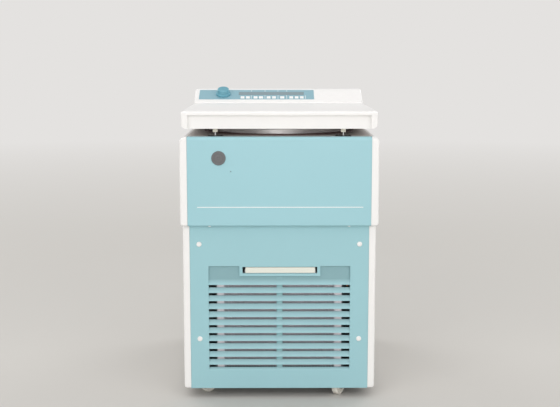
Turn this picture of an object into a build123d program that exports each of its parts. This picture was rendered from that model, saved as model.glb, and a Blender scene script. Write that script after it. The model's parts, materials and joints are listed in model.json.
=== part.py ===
from build123d import *

import math
import os

# A refrigerated laboratory centrifuge that stands on four swivel casters.
# Lower cabinet: cooling machinery behind a louvred front. Upper housing: rotor chamber.
# On top: a hinged lid, drawn slightly ajar, and the sloped control console behind it.
# Millimetres. X is the user's right, -Y the front, +Z up; the origin is on the floor,
# under the middle of the case.

# Case
CASE_W = 560.0  # upper housing
CASE_D = 690.0
BASE_W = 549.0  # lower cabinet
BASE_SETBACK = 15.0  # front of the lower cabinet behind the upper front
SKIRT_Z = 28.0  # lower edge of the lower panels
WAIST_Z = 505.0  # joint between lower cabinet and upper housing
DECK_Z = 757.0  # top of the deck around the chamber
CHEEK_T = 21.0  # moulded side covers of the upper housing
BASE_CHEEK_T = 19.5  # side covers of the lower cabinet
CHEEK_R = 8.0  # rounded lower edge of a side cover
CHEEK_CROWN_R = 18.0  # rounded upper edge of an upper side cover
CHEEK_END_R = 5.0  # their front and rear edges
COVER_WALL = 2.5
SHEET = 2.0  # panel sheet
SEAM = 0.5  # gap where two panels meet
RUN = 0.05  # radial clearance of a running fit
AIR = 0.3  # clearance of faces that only come close
FRONT_ROLL_R = 10.0  # rolled upper edge of the front panel
FRONT_FLANGE = 20.0

# Lid and its hinge
LID_W = 550.0
LID_SETBACK = 5.0  # lid front behind the case front
LID_LENGTH = 508.0
LID_TOP_Z = 828.0  # ajar, as drawn
LID_RIM_GAP = 2.5  # rim above the deck when closed
LID_REAR_GAP = 7.0  # rear wall above the deck when closed
LID_WALL = 3.0
LID_AJAR = 2.25  # degrees open, as drawn
LID_LIP_H = 11.0
LID_CAP_W = 18.5  # full-height corner at each end of the finger grip
LID_GRIP_D = 10.0
LID_EDGE_R = 4.0
LID_TOP_R = 7.0  # upper edge of each side
LID_TUCK_R = 17.0  # each side tucks in under itself down to the rim
HINGE_R = 12.0  # rounded rear edge, concentric with the hinge
HINGE_X = 150.0
HINGE_PIN_R = 4.0
HINGE_EYE_R = 8.0
HINGE_POST_T = 10.0
EAR_T = 4.0
SIDE_PLAY = 0.4  # between an ear and what turns beside it
LINER_T = 3.0
LINER_DISC_R = 209.0
LINER_DISC_H = 6.0

# Gas struts: both pivots at the same distance from the hinge
STRUT_X = 245.0
STRUT_ARM = 150.0
STRUT_UPPER_ANGLE = 14.7  # lid pivot below the forward horizontal, lid closed
STRUT_APEX_ANGLE = 70.0
STRUT_CYLINDER_R = 9.0
STRUT_CYLINDER_L = 130.0
STRUT_ROD_R = 4.0
STRUT_ROD_L = 160.0
STRUT_EYE_R = 8.0
STRUT_EYE_W = 10.0
STRUT_SLOT_W = 24.0
STRUT_PLATE_T = 3.0

# Chamber
CHAMBER_SETBACK = 270.0  # rotor axis behind the case front
BOWL_R = 215.0
BOWL_FLOOR_Z = 512.0
BOWL_CORNER_R = 30.0
BOWL_WALL = 1.5
BOWL_FLANGE_W = 9.0
BOWL_NECK_R = 42.0
BOWL_NECK_H = 18.0
GASKET_H = 3.8
GASKET_W = 11.0
JACKET_T = 6.0
JACKET_Z = (540.0, 742.0)
GUARD_R = 245.0
GUARD_WALL = 4.0
FOAM_GAP = 0.3

# Rotor
TRUNNION_Z = 685.0
TRUNNION_R = 105.0  # swing axis of a bucket from the rotor axis
TRUNNION_PIN_R = 5.0
BUCKET_R = 40.0
BUCKET_WALL = 2.5
BUCKET_RIM_H = 12.0  # above the swing axis
BUCKET_DEPTH = 93.0  # below the swing axis
BUCKET_BOSS_R = 9.0
BUCKET_BOSS_REACH = 45.5
YOKE_R = 128.0
YOKE_T = 30.0
YOKE_SLOT_W = 92.0
YOKE_SLOT_START = 58.0
HUB_R = 30.0
HUB_H = 26.0
SHAFT_R = 9.0
BUCKETS = 4

# Drive
MOTOR_R = 70.0
MOTOR_Z = (325.0, 480.0)
MOTOR_FLANGE_R = 105.0
MOTOR_FLANGE_T = 8.0
MOTOR_NECK_R = 38.0
MOTOR_NECK_TOP_Z = 522.0
MOTOR_FINS = 16
MOUNT_R = 14.0
MOUNT_CIRCLE_R = 89.0
SHELF_HOLE_R = 78.0

# Latches
LATCH_X = 180.0
LATCH_SETBACK = 35.0  # behind the case front
LATCH_BLOCK = (14.0, 10.0, 12.0)
LATCH_STEM_R = 2.0
LATCH_BAR_DROP = 32.0  # crossbar below the lid liner
LATCH_BAR_L = 17.0
LATCH_HOLE = (20.0, 18.0)
PLATE_L = 45.0  # oval guide plate on the deck
PLATE_W = 24.0
PLATE_T = 2.0
PLATE_SCREW_X = 17.5
HOOK_AXIS_SETBACK = 19.0
HOOK_AXIS_Z = 700.0
HOOK_SHAFT_R = 4.0
HOOK_HUB_R = 7.0
HOOK_T = 4.0
HOOK_RELEASE = 24.0  # degrees between engaged and released, released as drawn
HOOK_BEARING_X = 214.0

# Upper front
PLUG_X = -170.0
PLUG_Z = 697.5
PLUG_R = 20.0
PLUG_PROUD = 3.0
PLUG_SPIGOT_R = 16.0
SENSOR_HOLE = (-136.0, 660.0, 1.5)
FOOT_SCREW_X = 197.0

# Louvred lower front
LOUVRE_HALF_W = 202.0
LOUVRE_BOTTOM_Z = 82.0
LOUVRE_PITCH = 23.5
LOUVRE_ROWS = 11  # open rows, with one blind row above them
LOUVRE_SLOT_H = 8.5
LOUVRE_DEPTH = 5.0  # how far each slat leans back at its top
SLAT_T = 2.0
LOUVRE_WEB_W = 17.0
LOUVRE_FRAME_D = 8.0
LEDGE_FLANGE = 9.0  # folded top edge of the louvred panel
WINDOW_X = (-105.0, 108.0)
WINDOW_H = 18.8
WINDOW_BORDER = 9.0
CAP_R = 7.25
CAP_X = 228.0
CAP_Z = (175.0, 451.0)

# Condensate tray
TRAY_X = (-97.0, 102.0)
TRAY_H = 16.0
TRAY_D = 140.0
TRAY_WALL = 2.0
TRAY_FRONT_T = 4.0

# Console
CONSOLE_Y = 171.0
CONSOLE_BASE_Z = 830.0
CONSOLE_TOP_Y = 255.0
CONSOLE_TOP_Z = 869.0
CONSOLE_WALL = 3.0
CONSOLE_EDGE_R = 4.0
OVERLAY_X = (-261.0, 117.0)
OVERLAY_S = (20.0, 86.0)  # up the slope from its lower edge
OVERLAY_T = 1.0
DISPLAY_X = (-131.0, 84.0)
DISPLAY_S = (48.0, 71.0)
DISPLAY_T = 0.6
KNOB_X = -182.0
KNOB_S = 53.0
KNOB_R = 23.8
KNOB_H = 22.0
KNOB_SKIRT_H = 7.0
KNOB_CAP_R = 19.8
KNOB_SHAFT_R = 3.0
KEY_S = 30.8
KEY_H = 14.0
KEY_PROUD = 1.6
KEY_SPANS = (
    (-124.5, -112.0), (-106.6, -94.1), (-81.6, -68.9), (-64.2, -50.8), (-38.8, -26.3),
    (-20.9, -8.4), (5.5, 19.0), (36.0, 48.0), (53.8, 65.6), (70.7, 82.6),
)  # fmt: skip
KEY_PLAY = 0.25
KEY_TRAVEL = 0.8

# Lower cabinet
TRAY_PLATE_Z = 70.0  # underside of the base plate
SHELF_Z = 500.0  # top of the shelf that carries the drive
POST_W = 40.0
CONDENSER_W = 316.0
CONDENSER_Z = (84.0, 345.0)
CONDENSER_D = 36.0
CONDENSER_SETBACK = 12.0  # behind the louvred panel
CONDENSER_FIN_PITCH = 8.0
CONDENSER_FIN_D = 9.0
CONDENSER_FIN_T = 1.2
CONDENSER_WING = (160.0, 178.5)
CONDENSER_FOOT = 14.0
FAN_R = 98.0
FAN_Z = 214.0
FAN_BLADES = 5
FAN_HUB_R = 26.0
FAN_MOTOR_R = 34.0
COMPRESSOR_R = 78.0
COMPRESSOR_XY = (125.0, 165.0)
COMPRESSOR_H = 205.0
COMPRESSOR_FOOT_H = 14.0
SUCTION_PORT_DX = 30.0
PIPE_R = 4.0
INVERTER = ((-225.0, -60.0), (50.0, 250.0), 250.0)
INLET_X = 185.0
INLET_Z = 160.0
INLET_FLANGE = (34.0, 66.0, 2.5)
INLET_BODY = (28.0, 58.0, 30.0)
SWITCH_LIFT = 16.0
SWITCH_SIZE = (20.0, 13.0)
SWITCH_TILT = 8.0  # rocker, each way
REAR_RECESS = 5.0

# Casters
WHEEL_R = 25.0
WHEEL_W = 19.0
TRAIL = 25.0
CASTER_X = 185.5
CASTER_INSET = 69.0
CASTER_STEM_R = 5.0
CASTER_STEM_H = 24.0
CASTER_SOCKET_WALL = 3.0
FORK_T = 3.0
AXLE_R = 4.0
CASTER_TURNS = {
    "front_left": 163.7,
    "front_right": 237.1,
    "rear_left": 118.0,
    "rear_right": 52.0,
}

# Places that follow from the sizes above
FRONT_Y = -CASE_D / 2
REAR_Y = CASE_D / 2
BASE_FRONT_Y = FRONT_Y + BASE_SETBACK
INNER_X = CASE_W / 2 - CHEEK_T  # inside of the upper side covers
BASE_INNER_X = BASE_W / 2 - BASE_CHEEK_T
REAR_PANEL_Y = REAR_Y - REAR_RECESS
AXIS_Y = FRONT_Y + CHAMBER_SETBACK
CHAMBER = Pos(0, AXIS_Y, 0)
LID_FRONT_Y = FRONT_Y + LID_SETBACK
LID_REAR_Y = LID_FRONT_Y + LID_LENGTH
RIM_Z = DECK_Z + LID_RIM_GAP
HINGE_Y = LID_REAR_Y - HINGE_R
HINGE_Z = LID_TOP_Z - HINGE_R
HINGE = Axis((0, HINGE_Y, HINGE_Z), (-1, 0, 0))
GASKET_BASE_Z = DECK_Z + 1.0
GASKET_TOP_Z = GASKET_BASE_Z + GASKET_H
LINER_Z = GASKET_TOP_Z + AIR
LATCH_Y = FRONT_Y + LATCH_SETBACK
HOOK_Y = FRONT_Y + HOOK_AXIS_SETBACK
PLATE_TOP = TRAY_PLATE_Z + SHEET
SHELF_UNDER_Z = SHELF_Z - 3.0
LOUVRE_TOP_Z = LOUVRE_BOTTOM_Z + LOUVRE_PITCH * (LOUVRE_ROWS + 2)
WINDOW_MID_Z = LOUVRE_TOP_Z - LOUVRE_PITCH / 2
TRAY_Z = WINDOW_MID_Z - TRAY_H / 2
SLOPE = math.degrees(math.atan2(CONSOLE_TOP_Z - CONSOLE_BASE_Z, CONSOLE_TOP_Y - CONSOLE_Y))
CONDENSER_Y = BASE_FRONT_Y + CONDENSER_SETBACK
FAN_Y = CONDENSER_Y + CONDENSER_D + 32.0


def box(x, y, z):
    """A box between two values on each axis."""
    centre = [(low + high) / 2 for low, high in (x, y, z)]
    size = [high - low for low, high in (x, y, z)]
    return Pos(*centre) * Box(*size)


def bar(radius, start, end):
    """A round bar between two points."""
    run = Vector(*end) - Vector(*start)
    return extrude(Plane(origin=start, z_dir=run) * Circle(radius), run.length)


def side(face, x):
    """A face drawn in (y, z), thickened over a span of x."""
    return extrude(Plane.YZ.offset(x[0]) * face, x[1] - x[0])


def front(face, y):
    """A face drawn in (x, z), thickened over a span of y."""
    return extrude(Plane.XZ.offset(-y[0]) * face, y[0] - y[1])


def outline(*points):
    return make_face(Polyline(*points, close=True))


def turned(*points):
    """A profile of (radius, z) points, turned about the Z axis."""
    return revolve(Plane.XZ * outline(*points), Axis.Z)


def both_sides(shape):
    return shape + mirror(shape, about=Plane.YZ)


def span(centre, width):
    return (centre - width / 2, centre + width / 2)


def ajar(shape):
    """Puts a piece that is drawn with the lid closed where the lid stands ajar."""
    return shape.rotate(HINGE, LID_AJAR)


def parts_of(shape):
    return [solid for solid in shape.solids()]


# Side covers and panels


def side_cover(outer_x, thickness, y, z, crown_r):
    """A moulded cover, open towards the inside, with soft outer edges."""
    inner_x = outer_x - thickness

    def form(wall, end_r):
        line = FilletPolyline(
            (inner_x - wall / 2, z[0] + wall), (outer_x - wall, z[0] + wall),
            (outer_x - wall, z[1] - wall), (inner_x - wall / 2, z[1] - wall),
            radius=[CHEEK_R - wall, crown_r - wall],
        )  # fmt: skip
        face = make_face([*line.edges(), Line(line @ 1, line @ 0)])
        block = front(face, (y[0] + wall, y[1] - wall))
        ends = block.faces().sort_by(Axis.Y)
        rims = [edge for face in (ends[0], ends[-1]) for edge in face.edges()]
        return fillet([edge for edge in rims if edge.center().X > inner_x], end_r)

    return form(0, CHEEK_END_R) - form(COVER_WALL, CHEEK_END_R - COVER_WALL)


def upper_side_cover():
    return side_cover(CASE_W / 2, CHEEK_T, (FRONT_Y, REAR_Y), (WAIST_Z, DECK_Z), CHEEK_CROWN_R)


def lower_side_cover():
    y = (BASE_FRONT_Y, REAR_Y)
    return side_cover(BASE_W / 2, BASE_CHEEK_T, y, (SKIRT_Z, WAIST_Z - SEAM), CHEEK_R)


def upper_front_panel():
    """One folded sheet: lower flange, face, rolled upper edge and the flange behind it."""
    low, y0, y1 = WAIST_Z + SEAM, FRONT_Y, FRONT_Y + FRONT_FLANGE
    line = FilletPolyline(
        (y1, low), (y0, low), (y0, DECK_Z), (y1, DECK_Z), radius=[3.0, FRONT_ROLL_R]
    )
    inner = FilletPolyline(
        (y1, DECK_Z - SHEET), (y0 + SHEET, DECK_Z - SHEET), (y0 + SHEET, low + SHEET), (y1, low + SHEET),
        radius=[FRONT_ROLL_R - SHEET, 1.0],
    )  # fmt: skip
    ends = [Line((y1, DECK_Z), (y1, DECK_Z - SHEET)), Line((y1, low + SHEET), (y1, low))]
    half = INNER_X - SEAM
    panel = side(make_face([*line.edges(), ends[0], *inner.edges(), ends[1]]), (-half, half))
    panel -= bar(PLUG_SPIGOT_R + AIR, (PLUG_X, y0 - 1, PLUG_Z), (PLUG_X, y0 + 5, PLUG_Z))
    x, z, radius = SENSOR_HOLE
    panel -= bar(radius, (x, y0 - 1, z), (x, y0 + 5, z))
    for sign in (-1, 1):
        hole_y = BASE_FRONT_Y - 8.0
        panel -= bar(2.2, (sign * FOOT_SCREW_X, hole_y, low - 1), (sign * FOOT_SCREW_X, hole_y, low + 4))
    return panel


def release_plug():
    """Push-in cover of the emergency release, with a ring groove and a dimple."""
    head = turned(
        (0, 0), (PLUG_SPIGOT_R, 0), (PLUG_SPIGOT_R, 6.5), (PLUG_R, 6.5), (PLUG_R, 8.0),
        (PLUG_R - 1.5, 9.5), (13.5, 9.5), (13.0, 8.7), (12.0, 8.7), (11.5, 9.5),
        (4.5, 9.5), (3.0, 8.2), (0, 8.2),
    )  # fmt: skip
    seat = FRONT_Y + 6.5 - AIR / 3
    return Pos(PLUG_X, seat, PLUG_Z) * Rot(90, 0, 0) * head


def slat(low, high, x):
    """One leaning slat: its foot is flush with the panel, its head set back."""
    y = BASE_FRONT_Y
    face = outline(
        (y, low), (y + SLAT_T, low), (y + LOUVRE_DEPTH + SLAT_T, high), (y + LOUVRE_DEPTH, high)
    )
    return side(face, x)


def grille_panel():
    """Folded lower front with a framed field of leaning slats and the tray window."""
    y = (BASE_FRONT_Y, BASE_FRONT_Y + SHEET)
    half, field = BASE_INNER_X - SEAM, LOUVRE_HALF_W
    top = WAIST_Z - SEAM
    panel = box((-half, half), y, (SKIRT_Z, top))
    panel += box((-half, half), (y[0], y[0] + LEDGE_FLANGE), (top - SHEET, top))
    frame_x, frame_y = (-field - SHEET, field + SHEET), (y[0], y[0] + LOUVRE_FRAME_D)
    panel += box(frame_x, frame_y, (LOUVRE_BOTTOM_Z - SHEET, LOUVRE_TOP_Z + SHEET))
    panel -= box((-field, field), (y[0] - 1, y[0] + 20), (LOUVRE_BOTTOM_Z, LOUVRE_TOP_Z))
    for row in range(LOUVRE_ROWS):
        low = LOUVRE_BOTTOM_Z + row * LOUVRE_PITCH + LOUVRE_PITCH / 2 + LOUVRE_SLOT_H / 2
        panel += slat(low, low + LOUVRE_PITCH - LOUVRE_SLOT_H, (-field, field))
    sill = LOUVRE_BOTTOM_Z + LOUVRE_PITCH / 2 - LOUVRE_SLOT_H / 2
    panel += slat(LOUVRE_BOTTOM_Z - 0.01, sill, (-field, field))
    web_y = (y[0] + LOUVRE_DEPTH - 1.0, y[0] + LOUVRE_FRAME_D)
    blind_z = LOUVRE_TOP_Z - 1.5 * LOUVRE_PITCH + LOUVRE_SLOT_H / 2
    panel += box(span(0.5, LOUVRE_WEB_W), web_y, (LOUVRE_BOTTOM_Z - 0.01, blind_z))
    blind = box((-field, field), (y[0] + LOUVRE_DEPTH, web_y[1]), (blind_z - LOUVRE_SLOT_H, LOUVRE_TOP_Z))
    border_x = (WINDOW_X[0] - WINDOW_BORDER, WINDOW_X[1] + WINDOW_BORDER)
    panel += blind
    panel += box(border_x, (y[0], web_y[1]), (blind_z + 2.0, LOUVRE_TOP_Z))
    panel -= box(WINDOW_X, (y[0] - 1, y[0] + 20), span(WINDOW_MID_Z, WINDOW_H))
    for x in (-CAP_X, CAP_X):
        for z in CAP_Z:
            panel -= bar(2.6, (x, y[0] - 1, z), (x, y[0] + 5, z))
    return panel


def panel_screws():
    """Four capped screws through the louvred panel and two small ones under the ledge."""
    cap = turned((0, 0), (CAP_R, 0), (CAP_R, 1.2), (CAP_R - 1.8, 2.6), (0, 3.0))
    shank = Pos(0, 0, -5.5) * Cylinder(2.3, 11.0)
    screw = Rot(90, 0, 0) * (cap + shank)
    pieces = [Pos(x, BASE_FRONT_Y - 0.1, z) * screw for x in (-CAP_X, CAP_X) for z in CAP_Z]
    low = WAIST_Z + SEAM
    foot = turned((0, -2.4), (3.2, -2.4), (4.2, -0.1), (2.0, -0.1), (2.0, 4.5), (0, 4.5))
    pieces += [Pos(x, BASE_FRONT_Y - 8.0, low) * foot for x in (-FOOT_SCREW_X, FOOT_SCREW_X)]
    return pieces


def rear_panel():
    """Sheet with air slots low down and the cut-out for the power inlet."""
    half = BASE_INNER_X - SEAM
    y = (REAR_PANEL_Y - SHEET, REAR_PANEL_Y)
    panel = box((-half, half), y, (TRAY_PLATE_Z + 14.0, DECK_Z - SHEET - SEAM))
    slot = RectangleRounded(120.0, 7.0, 3.4)
    for row in range(9):
        for x in (-150.0, 0.0):
            face = Pos(x, 200.0 + 18.0 * row) * slot
            panel -= front(face, (y[0] - 1, y[1] + 1))
    body_w, body_h, _ = INLET_BODY
    cutout = (span(INLET_X, body_w + 2 * AIR), (y[0] - 1, y[1] + 1), span(INLET_Z, body_h + 2 * AIR))
    return panel - box(*cutout)


def top_deck():
    """Deck round the chamber, with strut hangers and hook bearings under it."""
    y = (FRONT_Y + FRONT_FLANGE + SEAM, REAR_PANEL_Y)
    half = INNER_X - SEAM
    deck = box((-half, half), y, (DECK_Z - SHEET, DECK_Z))
    deck -= CHAMBER * Pos(0, 0, DECK_Z) * Cylinder(BOWL_R + BOWL_WALL + AIR, 20)
    pivot = strut_lower_pivot()
    for sign in (-1, 1):
        slot_y = (HINGE_Y - STRUT_ARM + 12.0, pivot[1] - 11.0)
        deck -= box(span(sign * STRUT_X, STRUT_SLOT_W), slot_y, (DECK_Z - 10, DECK_Z + 10))
        deck -= box(span(sign * LATCH_X, LATCH_HOLE[0]), latch_hole_y(), (DECK_Z - 10, DECK_Z + 10))
    hanger_x = strut_plate_x()
    hanger = Plane.YZ.offset(hanger_x[0]) * outline(
        (pivot[1] - 24, DECK_Z - SHEET), (pivot[1] + 24, DECK_Z - SHEET),
        (pivot[1] + 9, pivot[2] - 9), (pivot[1] - 9, pivot[2] - 9),
    )  # fmt: skip
    hanger = extrude(hanger, STRUT_PLATE_T)
    stud = bar(STRUT_ROD_R, (hanger_x[0], *pivot[1:]), (STRUT_X + STRUT_EYE_W / 2 + 1.5, *pivot[1:]))
    bearing = Plane.YZ.offset(HOOK_BEARING_X) * outline(
        (HOOK_Y - 9, DECK_Z - SHEET), (HOOK_Y + 22, DECK_Z - SHEET),
        (HOOK_Y + 8, HOOK_AXIS_Z - 8), (HOOK_Y - 8, HOOK_AXIS_Z - 8),
    )  # fmt: skip
    flange = box((HOOK_BEARING_X, HOOK_BEARING_X + EAR_T), (y[0], HOOK_Y + 22), (DECK_Z - 6, DECK_Z - SHEET))
    bore = bar(HOOK_SHAFT_R + RUN, (200, HOOK_Y, HOOK_AXIS_Z), (230, HOOK_Y, HOOK_AXIS_Z))
    front_clear = box((200, 230), (FRONT_Y, y[0]), (DECK_Z - 30, DECK_Z))
    bearing = extrude(bearing, EAR_T) + flange - bore - front_clear
    return deck + both_sides(hanger + stud + bearing)


def latch_hole_y():
    return (LATCH_Y - LATCH_HOLE[1] * 0.55, LATCH_Y + LATCH_HOLE[1] * 0.45)


def latch_plates():
    """Oval guide plates on the deck, each with its two screws."""
    pieces = []
    for sign in (-1, 1):
        spot = Pos(sign * LATCH_X, LATCH_Y, DECK_Z)
        plate = extrude(spot * SlotOverall(PLATE_L, PLATE_W), PLATE_T)
        plate -= box(span(sign * LATCH_X, LATCH_HOLE[0]), latch_hole_y(), (DECK_Z - 1, DECK_Z + 5))
        for x in (-PLATE_SCREW_X, PLATE_SCREW_X):
            pieces.append(spot * Pos(x, 0, PLATE_T) * Pos(0, 0, 0.6) * Cylinder(2.6, 1.2))
        pieces.append(plate)
    return pieces


# Lid


def lid_cover():
    """Moulded cover: finger grip along the front, rear edge rounded about the hinge."""
    half = LID_W / 2
    low = RIM_Z - 20.0
    y = (LID_FRONT_Y, LID_REAR_Y)
    body = box((-half, half), y, (low, LID_TOP_Z))
    rear_edge = body.edges().filter_by(Axis.X).group_by(Axis.Y)[-1].sort_by(Axis.Z)[-1]
    body = fillet(rear_edge, HINGE_R)
    soft = [edge for edge in body.edges().filter_by(Axis.Z) if edge.center().Y < 0]
    body = fillet(soft, LID_EDGE_R)
    top = body.faces().sort_by(Axis.Z)[-1]
    body = fillet([edge for edge in top.edges() if edge.center().Y < HINGE_Y - 1], LID_TOP_R)
    body -= lid_tuck(LID_TUCK_R)
    grip_x = (-half + LID_CAP_W, half - LID_CAP_W)
    body -= box(grip_x, (y[0] - 1, y[0] + LID_GRIP_D), (low - 1, LID_TOP_Z - LID_LIP_H))
    wall = LID_WALL
    cavity = box(
        (-half + wall, half - wall),
        (y[0] + LID_GRIP_D + wall, y[1] - wall),
        (low - 1, LID_TOP_Z - wall),
    )
    edge = cavity.edges().filter_by(Axis.X).group_by(Axis.Y)[-1].sort_by(Axis.Z)[-1]
    cavity = fillet(edge, HINGE_R - wall)
    sides = [edge for edge in cavity.edges().filter_by(Axis.Y) if edge.center().Z > LID_TOP_Z - 4]
    body -= fillet(sides, LID_TOP_R - wall) - lid_tuck(LID_TUCK_R - wall)
    body -= ajar(box((-half - 5, half + 5), (y[0] - 50, y[1] + 50), (low - 60, RIM_Z)))
    body -= ajar(box((-half - 5, half + 5), (HINGE_Y, y[1] + 50), (low - 60, DECK_Z + LID_REAR_GAP)))
    notch = HINGE_POST_T + 4.0
    for sign in (-1, 1):
        post = box(span(sign * HINGE_X, notch), (HINGE_Y, y[1] + 5), (low - 60, HINGE_Z + 7.0))
        strut = box(span(sign * STRUT_X, STRUT_SLOT_W), (HINGE_Y, y[1] + 5), (low - 60, HINGE_Z - 38.0))
        body -= ajar(post + strut)
    return body


def lid_tuck(radius):
    """What lies outside the rounded lower edge of the lid, on both sides."""
    centre_x, centre_z = LID_W / 2 - LID_TUCK_R, RIM_Z + LID_TUCK_R
    y = (LID_FRONT_Y - 40, LID_REAR_Y + 40)
    corner = box((centre_x, LID_W / 2 + 20), y, (RIM_Z - 30, centre_z))
    return ajar(both_sides(corner - bar(radius, (centre_x, y[0] - 1, centre_z), (centre_x, y[1] + 1, centre_z))))


def strut_point(angle_below):
    """A point of the strut circle, at an angle below the forward horizontal."""
    turn = math.radians(angle_below)
    return (HINGE_Y - STRUT_ARM * math.cos(turn), HINGE_Z - STRUT_ARM * math.sin(turn))


def strut_lower_pivot():
    return (STRUT_X, *strut_point(STRUT_UPPER_ANGLE + STRUT_APEX_ANGLE))


def strut_upper_pivot(open_angle=LID_AJAR):
    return (STRUT_X, *strut_point(STRUT_UPPER_ANGLE - open_angle))


def strut_plate_x():
    inner = STRUT_X - STRUT_CYLINDER_R - 2.5
    return (inner - STRUT_PLATE_T, inner)


def lid_liner():
    """Pressed steel inner plate of the lid, with hinge ears and strut studs."""
    half = LID_W / 2 - LID_TUCK_R - AIR
    front_y = LID_FRONT_Y + LID_GRIP_D + LID_WALL + 2.0
    rear_y = AXIS_Y + BOWL_R + BOWL_FLANGE_W + 1.0
    plate = box((-half, half), (front_y, rear_y), (LINER_Z, LINER_Z + LINER_T))
    disc = CHAMBER * Pos(0, 0, LINER_Z) * turned(
        (0, -LINER_DISC_H), (LINER_DISC_R - 4, -LINER_DISC_H), (LINER_DISC_R, 0),
        (LINER_DISC_R, LINER_T), (LINER_DISC_R - 4, LINER_T),
        (LINER_DISC_R - 7, LINER_T - LINER_DISC_H), (0, LINER_T - LINER_DISC_H),
    )  # fmt: skip
    plate -= CHAMBER * Pos(0, 0, LINER_Z) * Cylinder(LINER_DISC_R - 0.01, 20)
    plate += disc
    pivot_y, pivot_z = strut_upper_pivot(0)[1:]
    for sign in (-1, 1):
        plate -= box(
            span(sign * STRUT_X, STRUT_SLOT_W + 2), (pivot_y - 12, rear_y + 1), (LINER_Z - 5, LINER_Z + 5)
        )
        plate -= box(span(sign * HINGE_X, HINGE_POST_T + 4), (HINGE_Y - 16, rear_y + 1), (LINER_Z - 5, LINER_Z + 5))
    ear = hull_profile((HINGE_Y - 60, LINER_Z + 1), (HINGE_Y - 22, LINER_Z + 1), (HINGE_Y, HINGE_Z), HINGE_EYE_R)
    inner = HINGE_X - HINGE_POST_T / 2 - SIDE_PLAY
    outer = HINGE_X + HINGE_POST_T / 2 + SIDE_PLAY
    ears = side(ear, (inner - EAR_T, inner)) + side(ear, (outer, outer + EAR_T))
    ears -= bar(HINGE_PIN_R + RUN, (HINGE_X - 40, HINGE_Y, HINGE_Z), (HINGE_X + 40, HINGE_Y, HINGE_Z))
    tab = hull_profile((pivot_y - 18, LINER_Z + 1), (pivot_y + 18, LINER_Z + 1), (pivot_y, pivot_z), 7.0)
    tab_x = strut_plate_x()
    stud = bar(STRUT_ROD_R, (tab_x[0], pivot_y, pivot_z), (STRUT_X + STRUT_EYE_W / 2 + 1.5, pivot_y, pivot_z))
    return ajar(plate + both_sides(ears) + both_sides(side(tab, tab_x) + stud))


def hull_profile(foot_a, foot_b, eye, radius):
    """An ear's outline: a straight foot, and flanks that run tangent to a round eye."""
    flanks = []
    for foot, turn in ((foot_a, 1), (foot_b, -1)):
        away = Vector(*eye) - Vector(*foot)
        angle = math.atan2(away.Y, away.X) + turn * math.asin(radius / away.length)
        reach = math.sqrt(away.length**2 - radius**2)
        flanks.append((foot[0] + reach * math.cos(angle), foot[1] + reach * math.sin(angle)))
    return outline(foot_a, flanks[0], eye, flanks[1], foot_b) + Pos(*eye) * Circle(radius)


def latch_pins():
    """Block, stem and crossbar under each front corner of the lid."""
    width, depth, height = LATCH_BLOCK
    pieces = []
    for sign in (-1, 1):
        x = sign * LATCH_X
        block = box(span(x, width), span(LATCH_Y, depth), (LINER_Z - height, LINER_Z))
        block = fillet(block.edges().filter_by(Axis.Z), 2.0)
        bar_z = LINER_Z - LATCH_BAR_DROP
        stem = bar(LATCH_STEM_R, (x, LATCH_Y, bar_z), (x, LATCH_Y, LINER_Z - height + 1))
        cross = bar(LATCH_STEM_R, (x - LATCH_BAR_L / 2, LATCH_Y, bar_z), (x + LATCH_BAR_L / 2, LATCH_Y, bar_z))
        pieces.append(ajar(block + stem + cross))
    return pieces


def latch_shaft():
    """Cross shaft with two hooks that turn over the crossbars of the latch pins."""
    bar_y, bar_z = LATCH_Y, LINER_Z - LATCH_BAR_DROP
    reach = math.dist((HOOK_Y, HOOK_AXIS_Z), (bar_y, bar_z))
    aim = math.degrees(math.atan2(bar_z - HOOK_AXIS_Z, bar_y - HOOK_Y))
    inner = reach + LATCH_STEM_R + AIR
    sector = outline(*[
        (radius * math.cos(math.radians(aim + angle)), radius * math.sin(math.radians(aim + angle)))
        for radius, angles in ((inner, (-9, 0, 9, 17)), (inner + 4.0, (17, 9, 0, -9)))
        for angle in angles
    ])  # fmt: skip
    arm = Rot(0, 0, aim + 17) * Pos((inner + 3) / 2, 0) * Rectangle(inner + 3, 5.0)
    hook = sector + arm + Circle(HOOK_HUB_R)
    hook = Pos(HOOK_Y, HOOK_AXIS_Z) * Rot(0, 0, HOOK_RELEASE) * hook
    x = LATCH_X + LATCH_STEM_R + 0.7
    hooks = both_sides(side(hook, (x, x + HOOK_T)))
    end = HOOK_BEARING_X + EAR_T + 6.0
    return hooks + bar(HOOK_SHAFT_R, (-end, HOOK_Y, HOOK_AXIS_Z), (end, HOOK_Y, HOOK_AXIS_Z))


def lid_hinges():
    """Posts on the deck and the pins that join the lid's ears to them."""
    pieces = []
    for sign in (-1, 1):
        x = sign * HINGE_X
        foot = box(span(x, 40.0), (HINGE_Y - 22, HINGE_Y + 12), (DECK_Z, DECK_Z + 3))
        post = hull_profile((HINGE_Y - 8, DECK_Z + 1), (HINGE_Y + 8, DECK_Z + 1), (HINGE_Y, HINGE_Z), HINGE_EYE_R - 0.01)
        post = side(post, span(x, HINGE_POST_T)) + foot
        pieces.append(post - bar(HINGE_PIN_R + RUN, (x - 40, HINGE_Y, HINGE_Z), (x + 40, HINGE_Y, HINGE_Z)))
        reach = HINGE_POST_T / 2 + SIDE_PLAY + EAR_T
        pieces.append(bar(HINGE_PIN_R, (x - reach - 2, HINGE_Y, HINGE_Z), (x + reach + 2, HINGE_Y, HINGE_Z)))
    return pieces


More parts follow.
